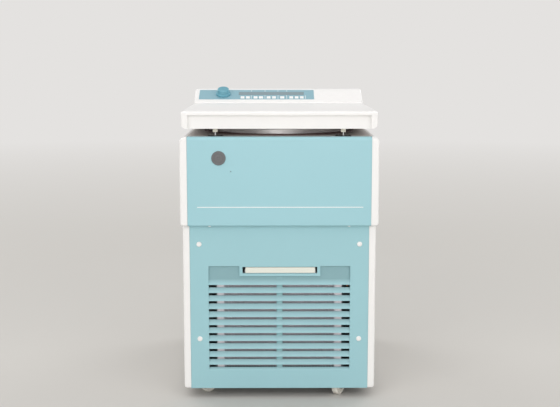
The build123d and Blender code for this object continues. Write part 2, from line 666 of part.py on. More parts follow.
def strut(kind):
    """A gas strut's cylinder or rod, both on the line between its two pivots."""
    low = Vector(*strut_lower_pivot()[1:])
    high = Vector(*strut_upper_pivot()[1:])
    length = (high - low).length
    angle = math.degrees(math.atan2(high.Y - low.Y, high.X - low.X))
    place = Plane(origin=(STRUT_X, low.X, low.Y), x_dir=(0, 1, 0), z_dir=(1, 0, 0))
    along = place.location * Rot(0, 0, angle)
    if kind == "cylinder":
        eye_at, start, end, radius = 0.0, 6.0, STRUT_CYLINDER_L, STRUT_CYLINDER_R
    else:
        eye_at, start, end, radius = length, length - STRUT_ROD_L, length - 5.0, STRUT_ROD_R
    tube = along * Pos((start + end) / 2, 0, 0) * Rot(0, 90, 0) * Cylinder(radius, end - start)
    tube += along * Pos(eye_at, 0, 0) * Cylinder(STRUT_EYE_R, STRUT_EYE_W)
    if kind == "cylinder":
        depth = STRUT_CYLINDER_L - 12.0
        tube -= along * Pos(12.0 + depth / 2 + 1, 0, 0) * Rot(0, 90, 0) * Cylinder(STRUT_ROD_R + RUN, depth + 2)
    tube -= along * Pos(eye_at, 0, 0) * Cylinder(STRUT_ROD_R + RUN, STRUT_EYE_W + 20)
    return parts_of(tube) + parts_of(mirror(tube, about=Plane.YZ))


# Console


def on_slope(x, s, lift=0.0):
    """A place on the console's sloped face, s up the slope, z along its normal."""
    turn = math.radians(SLOPE)
    y = CONSOLE_Y + s * math.cos(turn) - lift * math.sin(turn)
    z = CONSOLE_BASE_Z + s * math.sin(turn) + lift * math.cos(turn)
    return Pos(x, y, z) * Rot(SLOPE, 0, 0)


def slope_block(x, s, lift):
    """A box that lies on the sloped face."""
    size = (x[1] - x[0], s[1] - s[0], lift[1] - lift[0])
    return on_slope(sum(x) / 2, sum(s) / 2, sum(lift) / 2) * Box(*size)


def key_span(index, play=0.0):
    x0, x1 = KEY_SPANS[index]
    s = span(KEY_S, KEY_H + 2 * play)
    return (x0 - play, x1 + play), s


def console_profile(inset, bottom):
    """Side outline of the console, moved in by a wall's thickness."""
    turn = math.radians(SLOPE)
    lift = inset / math.cos(turn)
    y0, y1 = CONSOLE_Y + inset, REAR_Y - inset
    rise = math.tan(turn)
    z0 = CONSOLE_BASE_Z + inset * rise - lift
    z1 = CONSOLE_TOP_Z - inset
    y_top = CONSOLE_Y + (z1 - CONSOLE_BASE_Z + lift) / rise
    return outline((y0, bottom), (y0, z0), (y_top, z1), (y1, z1), (y1, bottom))


def console_housing():
    half = LID_W / 2
    body = side(console_profile(0, DECK_Z), (-half, half))
    long_edges = body.edges().filter_by(Axis.X).filter_by(lambda edge: edge.center().Z > DECK_Z + 1)
    body = fillet(long_edges, CONSOLE_EDGE_R)
    ends = [face for face in body.faces().sort_by(Axis.X)[:1] + body.faces().sort_by(Axis.X)[-1:]]
    rim = [edge for face in ends for edge in face.edges() if edge.center().Z > DECK_Z + 1]
    body = fillet(rim, CONSOLE_EDGE_R - 1.0)
    body -= side(console_profile(CONSOLE_WALL, DECK_Z - 1), (-half + CONSOLE_WALL, half - CONSOLE_WALL))
    body -= on_slope(KNOB_X, KNOB_S) * Cylinder(KNOB_SHAFT_R + RUN, 30)
    for index in range(len(KEY_SPANS)):
        x, s = key_span(index, KEY_PLAY)
        body -= slope_block(x, s, (-10, 5))
    return body


def control_overlay():
    """Membrane on the slope, cut out round the keys, with the display pane set in it."""
    overlay = slope_block(OVERLAY_X, OVERLAY_S, (0, OVERLAY_T))
    overlay -= on_slope(KNOB_X, KNOB_S) * Cylinder(KNOB_SHAFT_R + AIR, 30)
    for index in range(len(KEY_SPANS)):
        x, s = key_span(index, KEY_PLAY)
        overlay -= slope_block(x, s, (-5, 5))
    overlay -= slope_block(DISPLAY_X, DISPLAY_S, (OVERLAY_T - DISPLAY_T, 5))
    pane_x = (DISPLAY_X[0] + 0.2, DISPLAY_X[1] - 0.2)
    pane_s = (DISPLAY_S[0] + 0.2, DISPLAY_S[1] - 0.2)
    pane = slope_block(pane_x, pane_s, (OVERLAY_T - DISPLAY_T, OVERLAY_T))
    return [overlay, pane]


def control_knob():
    """Stepped setting knob with a soft rim and a finger dish in its top."""
    low = OVERLAY_T + AIR
    skin = FilletPolyline(
        (0, low), (KNOB_R, low), (KNOB_R, low + KNOB_SKIRT_H), (KNOB_CAP_R, low + KNOB_SKIRT_H + 1.0),
        (KNOB_CAP_R - 0.8, KNOB_H), (0, KNOB_H), radius=[0.5, 1.5, 0.8, 3.5],
    )  # fmt: skip
    face = make_face([*skin.edges(), Line((0, KNOB_H), (0, low))])
    knob = revolve(Plane.XZ * face, Axis.Z)
    knob += Pos(0, 0, -4.0) * Cylinder(KNOB_SHAFT_R, 2 * (low + 4.0))
    return on_slope(KNOB_X, KNOB_S) * knob


def key(index):
    """A key cap with a flange that keeps it behind the console's wall."""
    x, s = key_span(index)
    cap = slope_block(x, s, (-CONSOLE_WALL - 2.0, OVERLAY_T + KEY_PROUD))
    top = cap.faces().sort_by(lambda face: (face.center() - cap.center()).dot(slope_normal()))[-1]
    cap = chamfer(top.edges(), 0.6)
    flange_s = (s[0] - 1.5, s[1] + 1.5)
    return cap + slope_block((x[0] - 0.8, x[1] + 0.8), flange_s, (-CONSOLE_WALL - 2.0, -CONSOLE_WALL - 0.1))


def slope_normal():
    turn = math.radians(SLOPE)
    return Vector(0, -math.sin(turn), math.cos(turn))


# Chamber


def chamber_bowl():
    """Deep-drawn steel bowl with a flange on the deck and a neck round the drive."""
    top, floor, wall = GASKET_BASE_Z, BOWL_FLOOR_Z, BOWL_WALL
    radius, corner, neck = BOWL_R, BOWL_CORNER_R, BOWL_NECK_R
    inner = FilletPolyline(
        (neck, floor + BOWL_NECK_H), (neck, floor), (radius, floor), (radius, top),
        radius=[3.0, corner],
    )  # fmt: skip
    outer = FilletPolyline(
        (radius + wall, top - 1.0), (radius + wall, floor - wall), (neck - wall, floor - wall),
        (neck - wall, floor + BOWL_NECK_H), radius=[corner + wall, 3.0 + wall],
    )  # fmt: skip
    flange_r = radius + BOWL_FLANGE_W
    rim = Polyline((radius, top), (flange_r, top), (flange_r, top - 1.0), (radius + wall, top - 1.0))
    neck_top = Line((neck - wall, floor + BOWL_NECK_H), (neck, floor + BOWL_NECK_H))
    face = make_face([*inner.edges(), *rim.edges(), *outer.edges(), neck_top])
    return CHAMBER * revolve(Plane.XZ * face, Axis.Z)


def bowl_gasket():
    """Sealing ring on the bowl's flange, crowned towards the lid."""
    outer = BOWL_R + BOWL_FLANGE_W + 1.0
    inner, crown = outer - GASKET_W, 1.3
    ring = turned(
        (inner, 0), (outer, 0), (outer, GASKET_H - crown), (outer - crown, GASKET_H),
        (inner + crown, GASKET_H), (inner, GASKET_H - crown),
    )  # fmt: skip
    ring += turned((outer - 1.0, -1.0), (outer, -1.0), (outer, 0.1), (outer - 1.0, 0.1))
    return CHAMBER * Pos(0, 0, GASKET_BASE_Z) * (ring - turned((inner - 1, -2), (outer - 1.0 + AIR / 10, -2), (outer - 1.0 + AIR / 10, 0), (inner - 1, 0)))


def riser_places():
    """The two refrigerant pipes that rise to the jacket behind the drive."""
    radius = BOWL_R + BOWL_WALL + FOAM_GAP + PIPE_R + 0.4
    return [
        (radius * math.cos(math.radians(a)), AXIS_Y + radius * math.sin(math.radians(a)))
        for a in (50.0, 70.0)
    ]


def refrigerant_circuit():
    """Roll-bonded jacket round the bowl with its two copper pipes to the machinery."""
    inner = BOWL_R + BOWL_WALL + FOAM_GAP
    jacket = CHAMBER * turned(
        (inner, JACKET_Z[0]), (inner + JACKET_T, JACKET_Z[0]), (inner + JACKET_T, JACKET_Z[1]), (inner, JACKET_Z[1])
    )
    (suction_x, suction_y), (liquid_x, liquid_y) = riser_places()
    comp_x, comp_y = COMPRESSOR_XY
    comp_top = PLATE_TOP + COMPRESSOR_FOOT_H + COMPRESSOR_H
    suction = pipe([
        (suction_x, suction_y, JACKET_Z[0] + 0.5), (suction_x, suction_y, 420.0),
        (comp_x + SUCTION_PORT_DX, comp_y, 380.0), (comp_x + SUCTION_PORT_DX, comp_y, comp_top - 20.0),
    ])  # fmt: skip
    condenser_x = CONDENSER_WING[0] - 4.0
    liquid = pipe([
        (liquid_x, liquid_y, JACKET_Z[0] + 0.5), (liquid_x, liquid_y, 440.0),
        (INNER_X - 60.0, liquid_y - 60.0, 400.0), (INNER_X - 60.0, CONDENSER_Y + 60.0, 400.0),
        (INNER_X - 60.0, CONDENSER_Y + 60.0, 300.0),
        (condenser_x + 12.0, CONDENSER_Y + CONDENSER_D / 2, 300.0),
    ])  # fmt: skip
    return jacket + suction + liquid


def pipe(points):
    radii = []
    for before, here, after in zip(points, points[1:], points[2:]):
        into, out = Vector(*here) - Vector(*before), Vector(*after) - Vector(*here)
        turn = math.radians(into.get_angle(out))
        radii.append(min(25.0, 0.4 * min(into.length, out.length) / math.tan(turn / 2)))
    path = FilletPolyline(*points, radius=radii)
    return sweep(Plane(origin=points[0], z_dir=Vector(*points[1]) - Vector(*points[0])) * Circle(PIPE_R), path=path)


def bowl_insulation():
    """Foam between the jacket and the guard ring, and under the bowl."""
    jacket_r = BOWL_R + BOWL_WALL + FOAM_GAP + JACKET_T + FOAM_GAP
    outer = GUARD_R - GUARD_WALL - FOAM_GAP
    floor = BOWL_FLOOR_Z - BOWL_WALL - FOAM_GAP
    foam = turned(
        (jacket_r, floor), (outer, floor), (outer, DECK_Z - SHEET - 1.0), (jacket_r, DECK_Z - SHEET - 1.0)
    )
    foam += turned(
        (BOWL_NECK_R + 6, SHELF_Z), (outer, SHELF_Z), (outer, floor + 1), (BOWL_NECK_R + 6, floor)
    )
    foam = CHAMBER * (foam - turned((0, floor), (jacket_r, floor), (jacket_r, floor + 60), (0, floor + 60)))
    for x, y in riser_places():
        foam -= bar(PIPE_R + AIR, (x, y, SHELF_Z - 5), (x, y, JACKET_Z[0] + 6))
    return foam


# Rotor and drive


def tangent_place(index):
    return CHAMBER * Rot(0, 0, index * 360 / BUCKETS) * Pos(TRUNNION_R, 0, TRUNNION_Z)


def rotor_yoke():
    """Cross-shaped head: slots for the buckets, and trunnion pins on the slots' flanks."""
    body = turned(
        (SHAFT_R + RUN, -YOKE_T / 2), (YOKE_R - 5, -YOKE_T / 2), (YOKE_R, -YOKE_T / 2 + 5),
        (YOKE_R, YOKE_T / 2 - 8), (YOKE_R - 8, YOKE_T / 2), (HUB_R + 6, YOKE_T / 2),
        (HUB_R, YOKE_T / 2 + 6), (HUB_R, HUB_H), (HUB_R - 4, HUB_H + 4), (SHAFT_R + RUN, HUB_H + 4),
    )  # fmt: skip
    half = YOKE_SLOT_W / 2
    pins = None
    for index in range(BUCKETS):
        turn = Rot(0, 0, index * 360 / BUCKETS)
        body -= turn * box((YOKE_SLOT_START, YOKE_R + 5), (-half, half), (-YOKE_T, YOKE_T))
        for sign in (-1, 1):
            ends = sorted((sign * (BUCKET_BOSS_REACH - 5.0), sign * (half + 2)))
            pin = bar(TRUNNION_PIN_R, (TRUNNION_R, ends[0], 0), (TRUNNION_R, ends[1], 0))
            pins = turn * pin if pins is None else pins + turn * pin
    return CHAMBER * Pos(0, 0, TRUNNION_Z) * (body + pins)


def bucket(index):
    """A round bucket that hangs on two bosses and swings outwards."""
    radius, wall = BUCKET_R, BUCKET_WALL
    cup = turned(
        (0, -BUCKET_DEPTH), (radius - 8, -BUCKET_DEPTH), (radius, -BUCKET_DEPTH + 8),
        (radius, BUCKET_RIM_H), (radius - wall, BUCKET_RIM_H),
        (radius - wall, -BUCKET_DEPTH + 9), (radius - 9, -BUCKET_DEPTH + wall + 1), (0, -BUCKET_DEPTH + wall + 1),
    )  # fmt: skip
    hollow = Pos(0, 0, 50) * Cylinder(radius - wall, 300)
    bosses = Rot(90, 0, 0) * Cylinder(BUCKET_BOSS_R, 2 * BUCKET_BOSS_REACH) - hollow
    bosses -= Rot(90, 0, 0) * Cylinder(TRUNNION_PIN_R + RUN, 200) - Rot(90, 0, 0) * Cylinder(
        TRUNNION_PIN_R + 1, 2 * (BUCKET_BOSS_REACH - 5.3)
    )
    return tangent_place(index) * (cup + bosses)


def drive_shaft():
    """Motor shaft with a collar under the rotor and the nut that clamps it."""
    low = MOTOR_Z[1] - 60.0
    collar = TRUNNION_Z - YOKE_T / 2
    top = TRUNNION_Z + HUB_H + 4.0
    shaft = turned(
        (0, low), (SHAFT_R, low), (SHAFT_R, collar - 14), (SHAFT_R + 7, collar - 8),
        (SHAFT_R + 7, collar), (SHAFT_R, collar), (SHAFT_R, top), (15, top), (15, top + 8),
        (12, top + 11), (0, top + 11),
    )  # fmt: skip
    return CHAMBER * shaft


def drive_motor():
    """Induction motor: ribbed body, mounting flange and the neck that enters the bowl."""
    low, high = MOTOR_Z
    flange = high + MOTOR_FLANGE_T
    body = turned(
        (0, low), (MOTOR_R - 12, low), (MOTOR_R - 4, low + 8), (MOTOR_R - 4, high),
        (MOTOR_FLANGE_R, high), (MOTOR_FLANGE_R, flange), (MOTOR_NECK_R, flange),
        (MOTOR_NECK_R, MOTOR_NECK_TOP_Z - 6), (MOTOR_NECK_R - 6, MOTOR_NECK_TOP_Z), (0, MOTOR_NECK_TOP_Z),
    )  # fmt: skip
    body -= Pos(0, 0, high + 60) * Cylinder(SHAFT_R + RUN, 240.4)
    rib = box((MOTOR_R - 6, MOTOR_R + 2), (-2, 2), (low + 22, high - 12))
    for index in range(MOTOR_FINS):
        body += Rot(0, 0, (index + 0.5) * 360 / MOTOR_FINS) * rib
    return CHAMBER * body


def motor_mounts():
    """Rubber mounts that hang the motor's flange from the shelf."""
    low, high = MOTOR_Z[1] + MOTOR_FLANGE_T, SHELF_UNDER_Z
    mount = turned((0, low), (MOUNT_R, low), (MOUNT_R - 2, (low + high) / 2), (MOUNT_R, high), (0, high))
    return [
        CHAMBER * Rot(0, 0, 45 + 90 * index) * Pos(MOUNT_CIRCLE_R, 0, 0) * mount for index in range(4)
    ]


# Chassis and machinery


def caster_place(corner):
    x = CASTER_X if corner.endswith("right") else -CASTER_X
    y = FRONT_Y + CASTER_INSET
    return x, (y if corner.startswith("front") else -y)


def chassis():
    """Welded frame: base plate, posts, shelf, guard ring and caster sockets."""
    half = BASE_INNER_X - AIR
    front_y, rear_y = BASE_FRONT_Y + SHEET + AIR, REAR_PANEL_Y - SHEET - AIR
    frame = box((-half, half), (front_y + 12, rear_y), (TRAY_PLATE_Z, PLATE_TOP))
    frame += box((-half, half), (front_y + 12, rear_y), (SHELF_UNDER_Z, SHELF_Z))
    post = box((half - POST_W, half), (front_y, front_y + SHEET), (TRAY_PLATE_Z, SHELF_Z))
    post += box((half - SHEET, half), (front_y, front_y + POST_W), (TRAY_PLATE_Z, SHELF_Z))
    post -= bar(2.6, (CAP_X, front_y - 1, CAP_Z[0]), (CAP_X, front_y + 5, CAP_Z[0]))
    post -= bar(2.6, (CAP_X, front_y - 1, CAP_Z[1]), (CAP_X, front_y + 5, CAP_Z[1]))
    rear_post = box((half - POST_W, half), (rear_y - SHEET, rear_y), (TRAY_PLATE_Z, DECK_Z - SHEET - 0.1))
    rear_post += box((half - SHEET, half), (rear_y - POST_W, rear_y), (TRAY_PLATE_Z, DECK_Z - SHEET - 0.1))
    tie_z = (TRAY_Z - AIR - SHEET, TRAY_Z - AIR)
    rail_y = (front_y + LOUVRE_FRAME_D, front_y + TRAY_D + 10)
    rails = box((TRAY_X[0] - 40, TRAY_X[1] + 40), rail_y, tie_z)
    for x in (TRAY_X[0] - AIR - SHEET, TRAY_X[1] + AIR):
        rails += box((x, x + SHEET), rail_y, (tie_z[0], tie_z[1] + 8))
        rails += box((x, x + SHEET), (rail_y[1] - 30, rail_y[1]), (tie_z[0], SHELF_UNDER_Z + 1))
    frame += both_sides(post + rear_post) + rails
    ring = CHAMBER * turned(
        (GUARD_R - GUARD_WALL, SHELF_Z - 1), (GUARD_R, SHELF_Z - 1),
        (GUARD_R, DECK_Z - SHEET), (GUARD_R - GUARD_WALL, DECK_Z - SHEET),
    )  # fmt: skip
    frame += ring
    frame -= CHAMBER * Pos(0, 0, SHELF_Z) * Cylinder(SHELF_HOLE_R, 20)
    for x, y in riser_places():
        frame -= bar(PIPE_R + 1.5, (x, y, SHELF_Z - 10), (x, y, SHELF_Z + 2))
    for corner in CASTER_TURNS:
        x, y = caster_place(corner)
        top = TRAY_PLATE_Z + CASTER_STEM_H
        frame += bar(CASTER_STEM_R + RUN + CASTER_SOCKET_WALL, (x, y, TRAY_PLATE_Z), (x, y, top + 3))
        frame -= bar(CASTER_STEM_R + RUN, (x, y, TRAY_PLATE_Z - 1), (x, y, top + 0.5))
    return frame


def condensate_tray():
    """Pull-out tray: a cream front bar and a shallow open pan behind it."""
    y0 = BASE_FRONT_Y
    body = box(TRAY_X, (y0, y0 + TRAY_D), (TRAY_Z, TRAY_Z + TRAY_H))
    body = fillet(body.edges().filter_by(Axis.Z).group_by(Axis.Y)[0], 1.5)
    wall = TRAY_WALL
    pan = box(
        (TRAY_X[0] + wall, TRAY_X[1] - wall),
        (y0 + TRAY_FRONT_T, y0 + TRAY_D - wall),
        (TRAY_Z + wall, TRAY_Z + TRAY_H + 1),
    )
    return body - pan


def condenser():
    """Finned block between two end plates whose wings reach behind the grille."""
    half = CONDENSER_W / 2
    y0, z = CONDENSER_Y, CONDENSER_Z
    rear = y0 + CONDENSER_D
    count = int(CONDENSER_W // CONDENSER_FIN_PITCH)
    comb = [(-half, rear), (half, rear)]
    for index in range(count, 0, -1):
        x = -half + index * CONDENSER_FIN_PITCH - (CONDENSER_FIN_PITCH - CONDENSER_FIN_T) / 2
        low = y0 + CONDENSER_FIN_D
        comb += [(x, low), (x, y0), (x - CONDENSER_FIN_T, y0), (x - CONDENSER_FIN_T, low)]
    start = comb[2]
    comb.insert(2, (half, start[1]))
    comb.append((-half, start[1]))
    core = extrude(Plane.XY.offset(z[0] + 4) * outline(*comb), z[1] - z[0] - 4)
    wing_in, wing_out = CONDENSER_WING
    wing_y = BASE_FRONT_Y + LOUVRE_FRAME_D + 0.2
    plate = box((half, half + 2.0), (wing_y, rear), (PLATE_TOP, z[1]))
    plate += box((half, wing_out), (wing_y, wing_y + 1.2), (PLATE_TOP, z[1]))
    plate += box((half, half + CONDENSER_FOOT), (y0, rear), (PLATE_TOP, PLATE_TOP + 2.0))
    shroud = box((-half, half), (rear, rear + 2.0), (z[0] + 4, z[1]))
    lip = bar(FAN_R + 5, (0, rear, FAN_Z), (0, FAN_Y + 8, FAN_Z))
    shroud += lip
    shroud -= bar(FAN_R + 3, (0, rear - 1, FAN_Z), (0, FAN_Y + 9, FAN_Z))
    return core + both_sides(plate) + shroud


def condenser_fan():
    """Five-bladed axial fan on the shaft of its motor."""
    hub = bar(FAN_HUB_R, (0, FAN_Y - 9, FAN_Z), (0, FAN_Y + 9, FAN_Z))
    blade = Pos((FAN_HUB_R + FAN_R) / 2 - 2, 0, 0) * Rot(32, 0, 0) * Box(FAN_R - FAN_HUB_R + 2, 46, 2.0)
    for index in range(FAN_BLADES):
        turn = Rot(0, 0, index * 360 / FAN_BLADES)
        hub += Pos(0, FAN_Y, FAN_Z) * Rot(90, 0, 0) * turn * blade
    hub -= Pos(0, FAN_Y, FAN_Z) * Rot(90, 0, 0) * (Cylinder(FAN_R + 30, 80) - Cylinder(FAN_R, 82))
    return hub - bar(4.0 + RUN, (0, FAN_Y - 5, FAN_Z), (0, FAN_Y + 20, FAN_Z))


def fan_motor():
    """Shaded-pole motor on a sheet bracket that stands on the base plate."""
    y0 = FAN_Y + 16.0
    motor = bar(FAN_MOTOR_R, (0, y0, FAN_Z), (0, y0 + 44.0, FAN_Z))
    motor += bar(4.0, (0, FAN_Y - 4, FAN_Z), (0, y0 + 1, FAN_Z))
    bracket_y = (y0 + 44.0, y0 + 47.0)
    motor += box((-30, 30), bracket_y, (PLATE_TOP, FAN_Z + 30))
    return motor + box((-30, 30), (y0 + 44.0, y0 + 80.0), (PLATE_TOP, PLATE_TOP + 3))


def compressor():
    """Hermetic compressor: domed steel can on a plate with rubber feet."""
    x, y = COMPRESSOR_XY
    foot, high, r = COMPRESSOR_FOOT_H, COMPRESSOR_H, COMPRESSOR_R
    can = turned(
        (0, 0), (r - 22, 0), (r - 5, 14), (r, 34), (r, high - 60), (r + 2.5, high - 58),
        (r + 2.5, high - 52), (r, high - 50), (r - 5, high - 28), (r - 20, high - 10), (0, high),
    )  # fmt: skip
    base = Pos(0, 0, 6) * Box(190, 130, 4)
    body = Pos(x, y, PLATE_TOP + foot) * (can + base)
    port_x = x + SUCTION_PORT_DX
    body -= bar(PIPE_R + RUN, (port_x, y, PLATE_TOP + foot + high - 30), (port_x, y, PLATE_TOP + foot + high))
    pieces = [body]
    for dx in (-84, 84):
        for dy in (-54, 54):
            pieces.append(Pos(x + dx, y + dy, PLATE_TOP) * turned((0, 0), (13, 0), (10, foot + 4), (0, foot + 4)))
    return pieces


def electronics_box():
    """Drive inverter: lidded sheet box with cooling ribs on one side."""
    x, y, height = INVERTER
    case = box(x, y, (PLATE_TOP, PLATE_TOP + height))
    case = chamfer(case.edges().filter_by(Axis.Z), 3.0)
    inside = [(low + SHEET, high - SHEET) for low, high in (x, y)]
    case -= box(*inside, (PLATE_TOP - 1, PLATE_TOP + height - SHEET))
    for index in range(9):
        rib_y = y[0] + 20 + index * (y[1] - y[0] - 40) / 8
        case += box((x[1] - 1, x[1] + 14), span(rib_y, 3.0), (PLATE_TOP + 30, PLATE_TOP + height - 30))
    return case


def power_inlet():
    """Appliance inlet with its switch window, through the rear panel."""
    width, height, proud = INLET_FLANGE
    body_w, body_h, depth = INLET_BODY
    y = REAR_PANEL_Y
    unit = box(span(INLET_X, width), (y, y + proud), span(INLET_Z, height))
    unit += box(span(INLET_X, body_w), (y - depth, y + 0.1), span(INLET_Z, body_h))
    socket_z = INLET_Z - 12.0
    unit -= box(span(INLET_X, 22.0), (y - 18.0, y + 5), span(socket_z, 16.0))
    for dx, dz in ((-7, 0), (7, 0), (0, 3)):
        unit += box(span(INLET_X + dx, 2.0), (y - 19.0, y - 3.0), span(socket_z + dz, 4.0))
    window = (span(INLET_X, SWITCH_SIZE[0] + 0.8), (y - 12.0, y + 5), span(INLET_Z + SWITCH_LIFT, 14.6))
    pin_z, pin_y = INLET_Z + SWITCH_LIFT, y - 4.0
    unit -= box(*window)
    return unit - bar(1.5 + RUN, (INLET_X - 13.0, pin_y, pin_z), (INLET_X + 13.0, pin_y, pin_z))


def mains_switch():
    """Rocker with two pressing faces and trunnions, tilted to one of its rests."""
    half = SWITCH_SIZE[1] / 2
    face = outline((-3.0, -half), (4.5, -half), (2.2, 0), (4.5, half), (-3.0, half))
    rocker = extrude(Plane.YZ * face, SWITCH_SIZE[0] / 2, both=True)
    rocker += bar(1.5, (-12.5, 0, 0), (12.5, 0, 0))
    return Pos(INLET_X, REAR_PANEL_Y - 4.0, INLET_Z + SWITCH_LIFT) * Rot(SWITCH_TILT, 0, 0) * rocker


# Casters


def caster_fork(corner):
    """Swivel fork with its stem, and the axle across its foot."""
    head_low, head_high = TRAY_PLATE_Z - 9.0, TRAY_PLATE_Z - 0.8
    gap = WHEEL_W / 2 + 1.2
    head = turned((0, head_low), (19, head_low), (19, head_high - 2), (15, head_high), (0, head_high))
    stem_top = TRAY_PLATE_Z + CASTER_STEM_H
    stem = Pos(0, 0, (head_high + stem_top) / 2) * Cylinder(CASTER_STEM_R, stem_top - head_high + 1)
    cheek = hull_profile((17, head_low + 1), (-14, head_low + 1), (TRAIL, WHEEL_R), 8.0)
    cheeks = extrude(Plane.XZ.offset(gap) * cheek, FORK_T) + extrude(Plane.XZ.offset(-gap) * cheek, -FORK_T)
    bridge = box((-14, 17), (-gap - FORK_T, gap + FORK_T), (head_low, head_low + 3))
    fork = head + stem + cheeks + bridge
    reach = gap + FORK_T
    fork -= bar(AXLE_R + RUN, (TRAIL, -reach - 2, WHEEL_R), (TRAIL, reach + 2, WHEEL_R))
    axle = bar(AXLE_R, (TRAIL, -reach - 1.5, WHEEL_R), (TRAIL, reach + 1.5, WHEEL_R))
    place = Pos(*caster_place(corner), 0) * Rot(0, 0, CASTER_TURNS[corner])
    return [place * fork, place * axle]


def caster_wheel(corner):
    """Moulded wheel: rounded tread, recessed web and hub."""
    half, r = WHEEL_W / 2, WHEEL_R
    wheel = turned(
        (AXLE_R + RUN, -half), (9, -half), (10, -half + 4), (17, -half + 4), (19, -half + 1),
        (r - 3, -half), (r, -half + 3), (r, half - 3), (r - 3, half), (19, half - 1),
        (17, half - 4), (10, half - 4), (9, half), (AXLE_R + RUN, half),
    )  # fmt: skip
    place = Pos(*caster_place(corner), 0) * Rot(0, 0, CASTER_TURNS[corner])
    return place * Pos(TRAIL, 0, WHEEL_R) * Rot(90, 0, 0) * wheel


def build():
    """Every node of the model, by name."""
    nodes = {
        "chassis": chassis(),
        "top_deck": top_deck(),
        "upper_side_right": upper_side_cover(),
        "upper_side_left": mirror(upper_side_cover(), about=Plane.YZ),
        "lower_side_right": lower_side_cover(),
        "lower_side_left": mirror(lower_side_cover(), about=Plane.YZ),
        "upper_front_panel": upper_front_panel(),
        "grille_panel": grille_panel(),
        "panel_screws": panel_screws(),
        "rear_panel": rear_panel(),
        "release_plug": release_plug(),
        "condensate_tray": condensate_tray(),
        "chamber_bowl": chamber_bowl(),
        "bowl_gasket": bowl_gasket(),
        "bowl_insulation": bowl_insulation(),
        "refrigerant_circuit": refrigerant_circuit(),
        "drive_motor": drive_motor(),
        "motor_mounts": motor_mounts(),
        "drive_shaft": drive_shaft(),
        "rotor_yoke": rotor_yoke(),
        "lid_cover": lid_cover(),
        "lid_liner": lid_liner(),
        "lid_latch_pins": latch_pins(),
        "lid_hinges": lid_hinges(),
        "latch_plates": latch_plates(),
        "latch_shaft": latch_shaft(),
        "strut_cylinders": strut("cylinder"),
        "strut_rods": strut("rod"),
        "console_housing": console_housing(),
        "control_overlay": control_overlay(),
        "control_knob": control_knob(),
        "compressor": compressor(),
        "condenser": condenser(),
        "condenser_fan": condenser_fan(),
        "fan_motor": fan_motor(),
        "electronics_box": electronics_box(),
        "power_inlet": power_inlet(),
        "mains_switch": mains_switch(),
    }
    for index in range(BUCKETS):
        nodes[f"bucket_{index + 1}"] = bucket(index)
    for index in range(len(KEY_SPANS)):
        nodes[f"key_{index + 1}"] = key(index)
    for corner in CASTER_TURNS:
        nodes[f"caster_fork_{corner}"] = caster_fork(corner)
        nodes[f"caster_wheel_{corner}"] = caster_wheel(corner)
    return nodes


def save(name, shape):
    """Writes a node as one solid, or as a group of separate solids."""
    pieces = shape if isinstance(shape, list) else [shape]
    solids = [solid for piece in pieces for solid in piece.solids()]
    export_step(solids[0] if len(solids) == 1 else Compound(solids), f"parts/{name}.step")


os.makedirs("parts", exist_ok=True)
for node_name, node_shape in build().items():
    save(node_name, node_shape)
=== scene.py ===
"""Finishes, small fittings and studio for a refrigerated floor centrifuge.

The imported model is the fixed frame. Its pieces get the finishes of the real ones, and the
printed lines, plates and fasteners that are too small for the frame are modelled here.
"""

import json
import math

import bpy
from bpy.props import FloatProperty, FloatVectorProperty, IntProperty, PointerProperty
from mathutils import Matrix, Vector


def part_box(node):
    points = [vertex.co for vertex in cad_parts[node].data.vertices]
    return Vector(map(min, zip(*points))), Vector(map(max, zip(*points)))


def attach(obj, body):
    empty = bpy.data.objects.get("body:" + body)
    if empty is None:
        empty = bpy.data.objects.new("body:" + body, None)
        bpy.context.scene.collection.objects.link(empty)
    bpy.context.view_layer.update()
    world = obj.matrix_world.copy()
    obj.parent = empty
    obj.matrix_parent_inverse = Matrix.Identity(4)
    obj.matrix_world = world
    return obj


bl_info = {
    "name": "Refrigerated Centrifuge",
    "version": (1, 0, 0),
    "blender": (4, 5, 0),
    "location": "3D View > Sidebar > Centrifuge",
    "description": "Finishes, fittings and studio of a refrigerated floor centrifuge",
    "category": "Object",
}

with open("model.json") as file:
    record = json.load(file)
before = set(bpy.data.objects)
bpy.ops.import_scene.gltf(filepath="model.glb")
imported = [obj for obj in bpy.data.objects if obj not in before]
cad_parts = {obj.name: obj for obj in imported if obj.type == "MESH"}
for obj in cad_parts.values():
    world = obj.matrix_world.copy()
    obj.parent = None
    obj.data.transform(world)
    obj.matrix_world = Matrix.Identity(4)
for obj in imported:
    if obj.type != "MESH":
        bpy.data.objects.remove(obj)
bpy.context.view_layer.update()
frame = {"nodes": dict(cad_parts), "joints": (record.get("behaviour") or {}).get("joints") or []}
MM = 0.001

# Places read from the frame, in metres
FRONT_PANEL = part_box("upper_front_panel")
REAR_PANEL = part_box("rear_panel")
LOUVRE_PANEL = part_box("grille_panel")
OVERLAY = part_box("control_overlay")
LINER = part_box("lid_liner")
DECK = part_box("top_deck")
JOINTS = {joint["name"]: joint for joint in frame["joints"]}
LID_HINGE = Vector(JOINTS["lid_hinge"]["pos_m"])
LID_AJAR = math.radians(-JOINTS["lid_hinge"]["range_deg"][0])
SLOPE_NORMAL = -Vector(JOINTS["key_1_press"]["axis"])
SLOPE = math.atan2(-SLOPE_NORMAL.y, SLOPE_NORMAL.z)
ROTOR = Vector(JOINTS["rotor_spin"]["pos_m"])
# lower face of the liner's plate with the lid closed: the seal and its clearance above the deck
LINER_Z = DECK[1][2] + 5.1 * MM

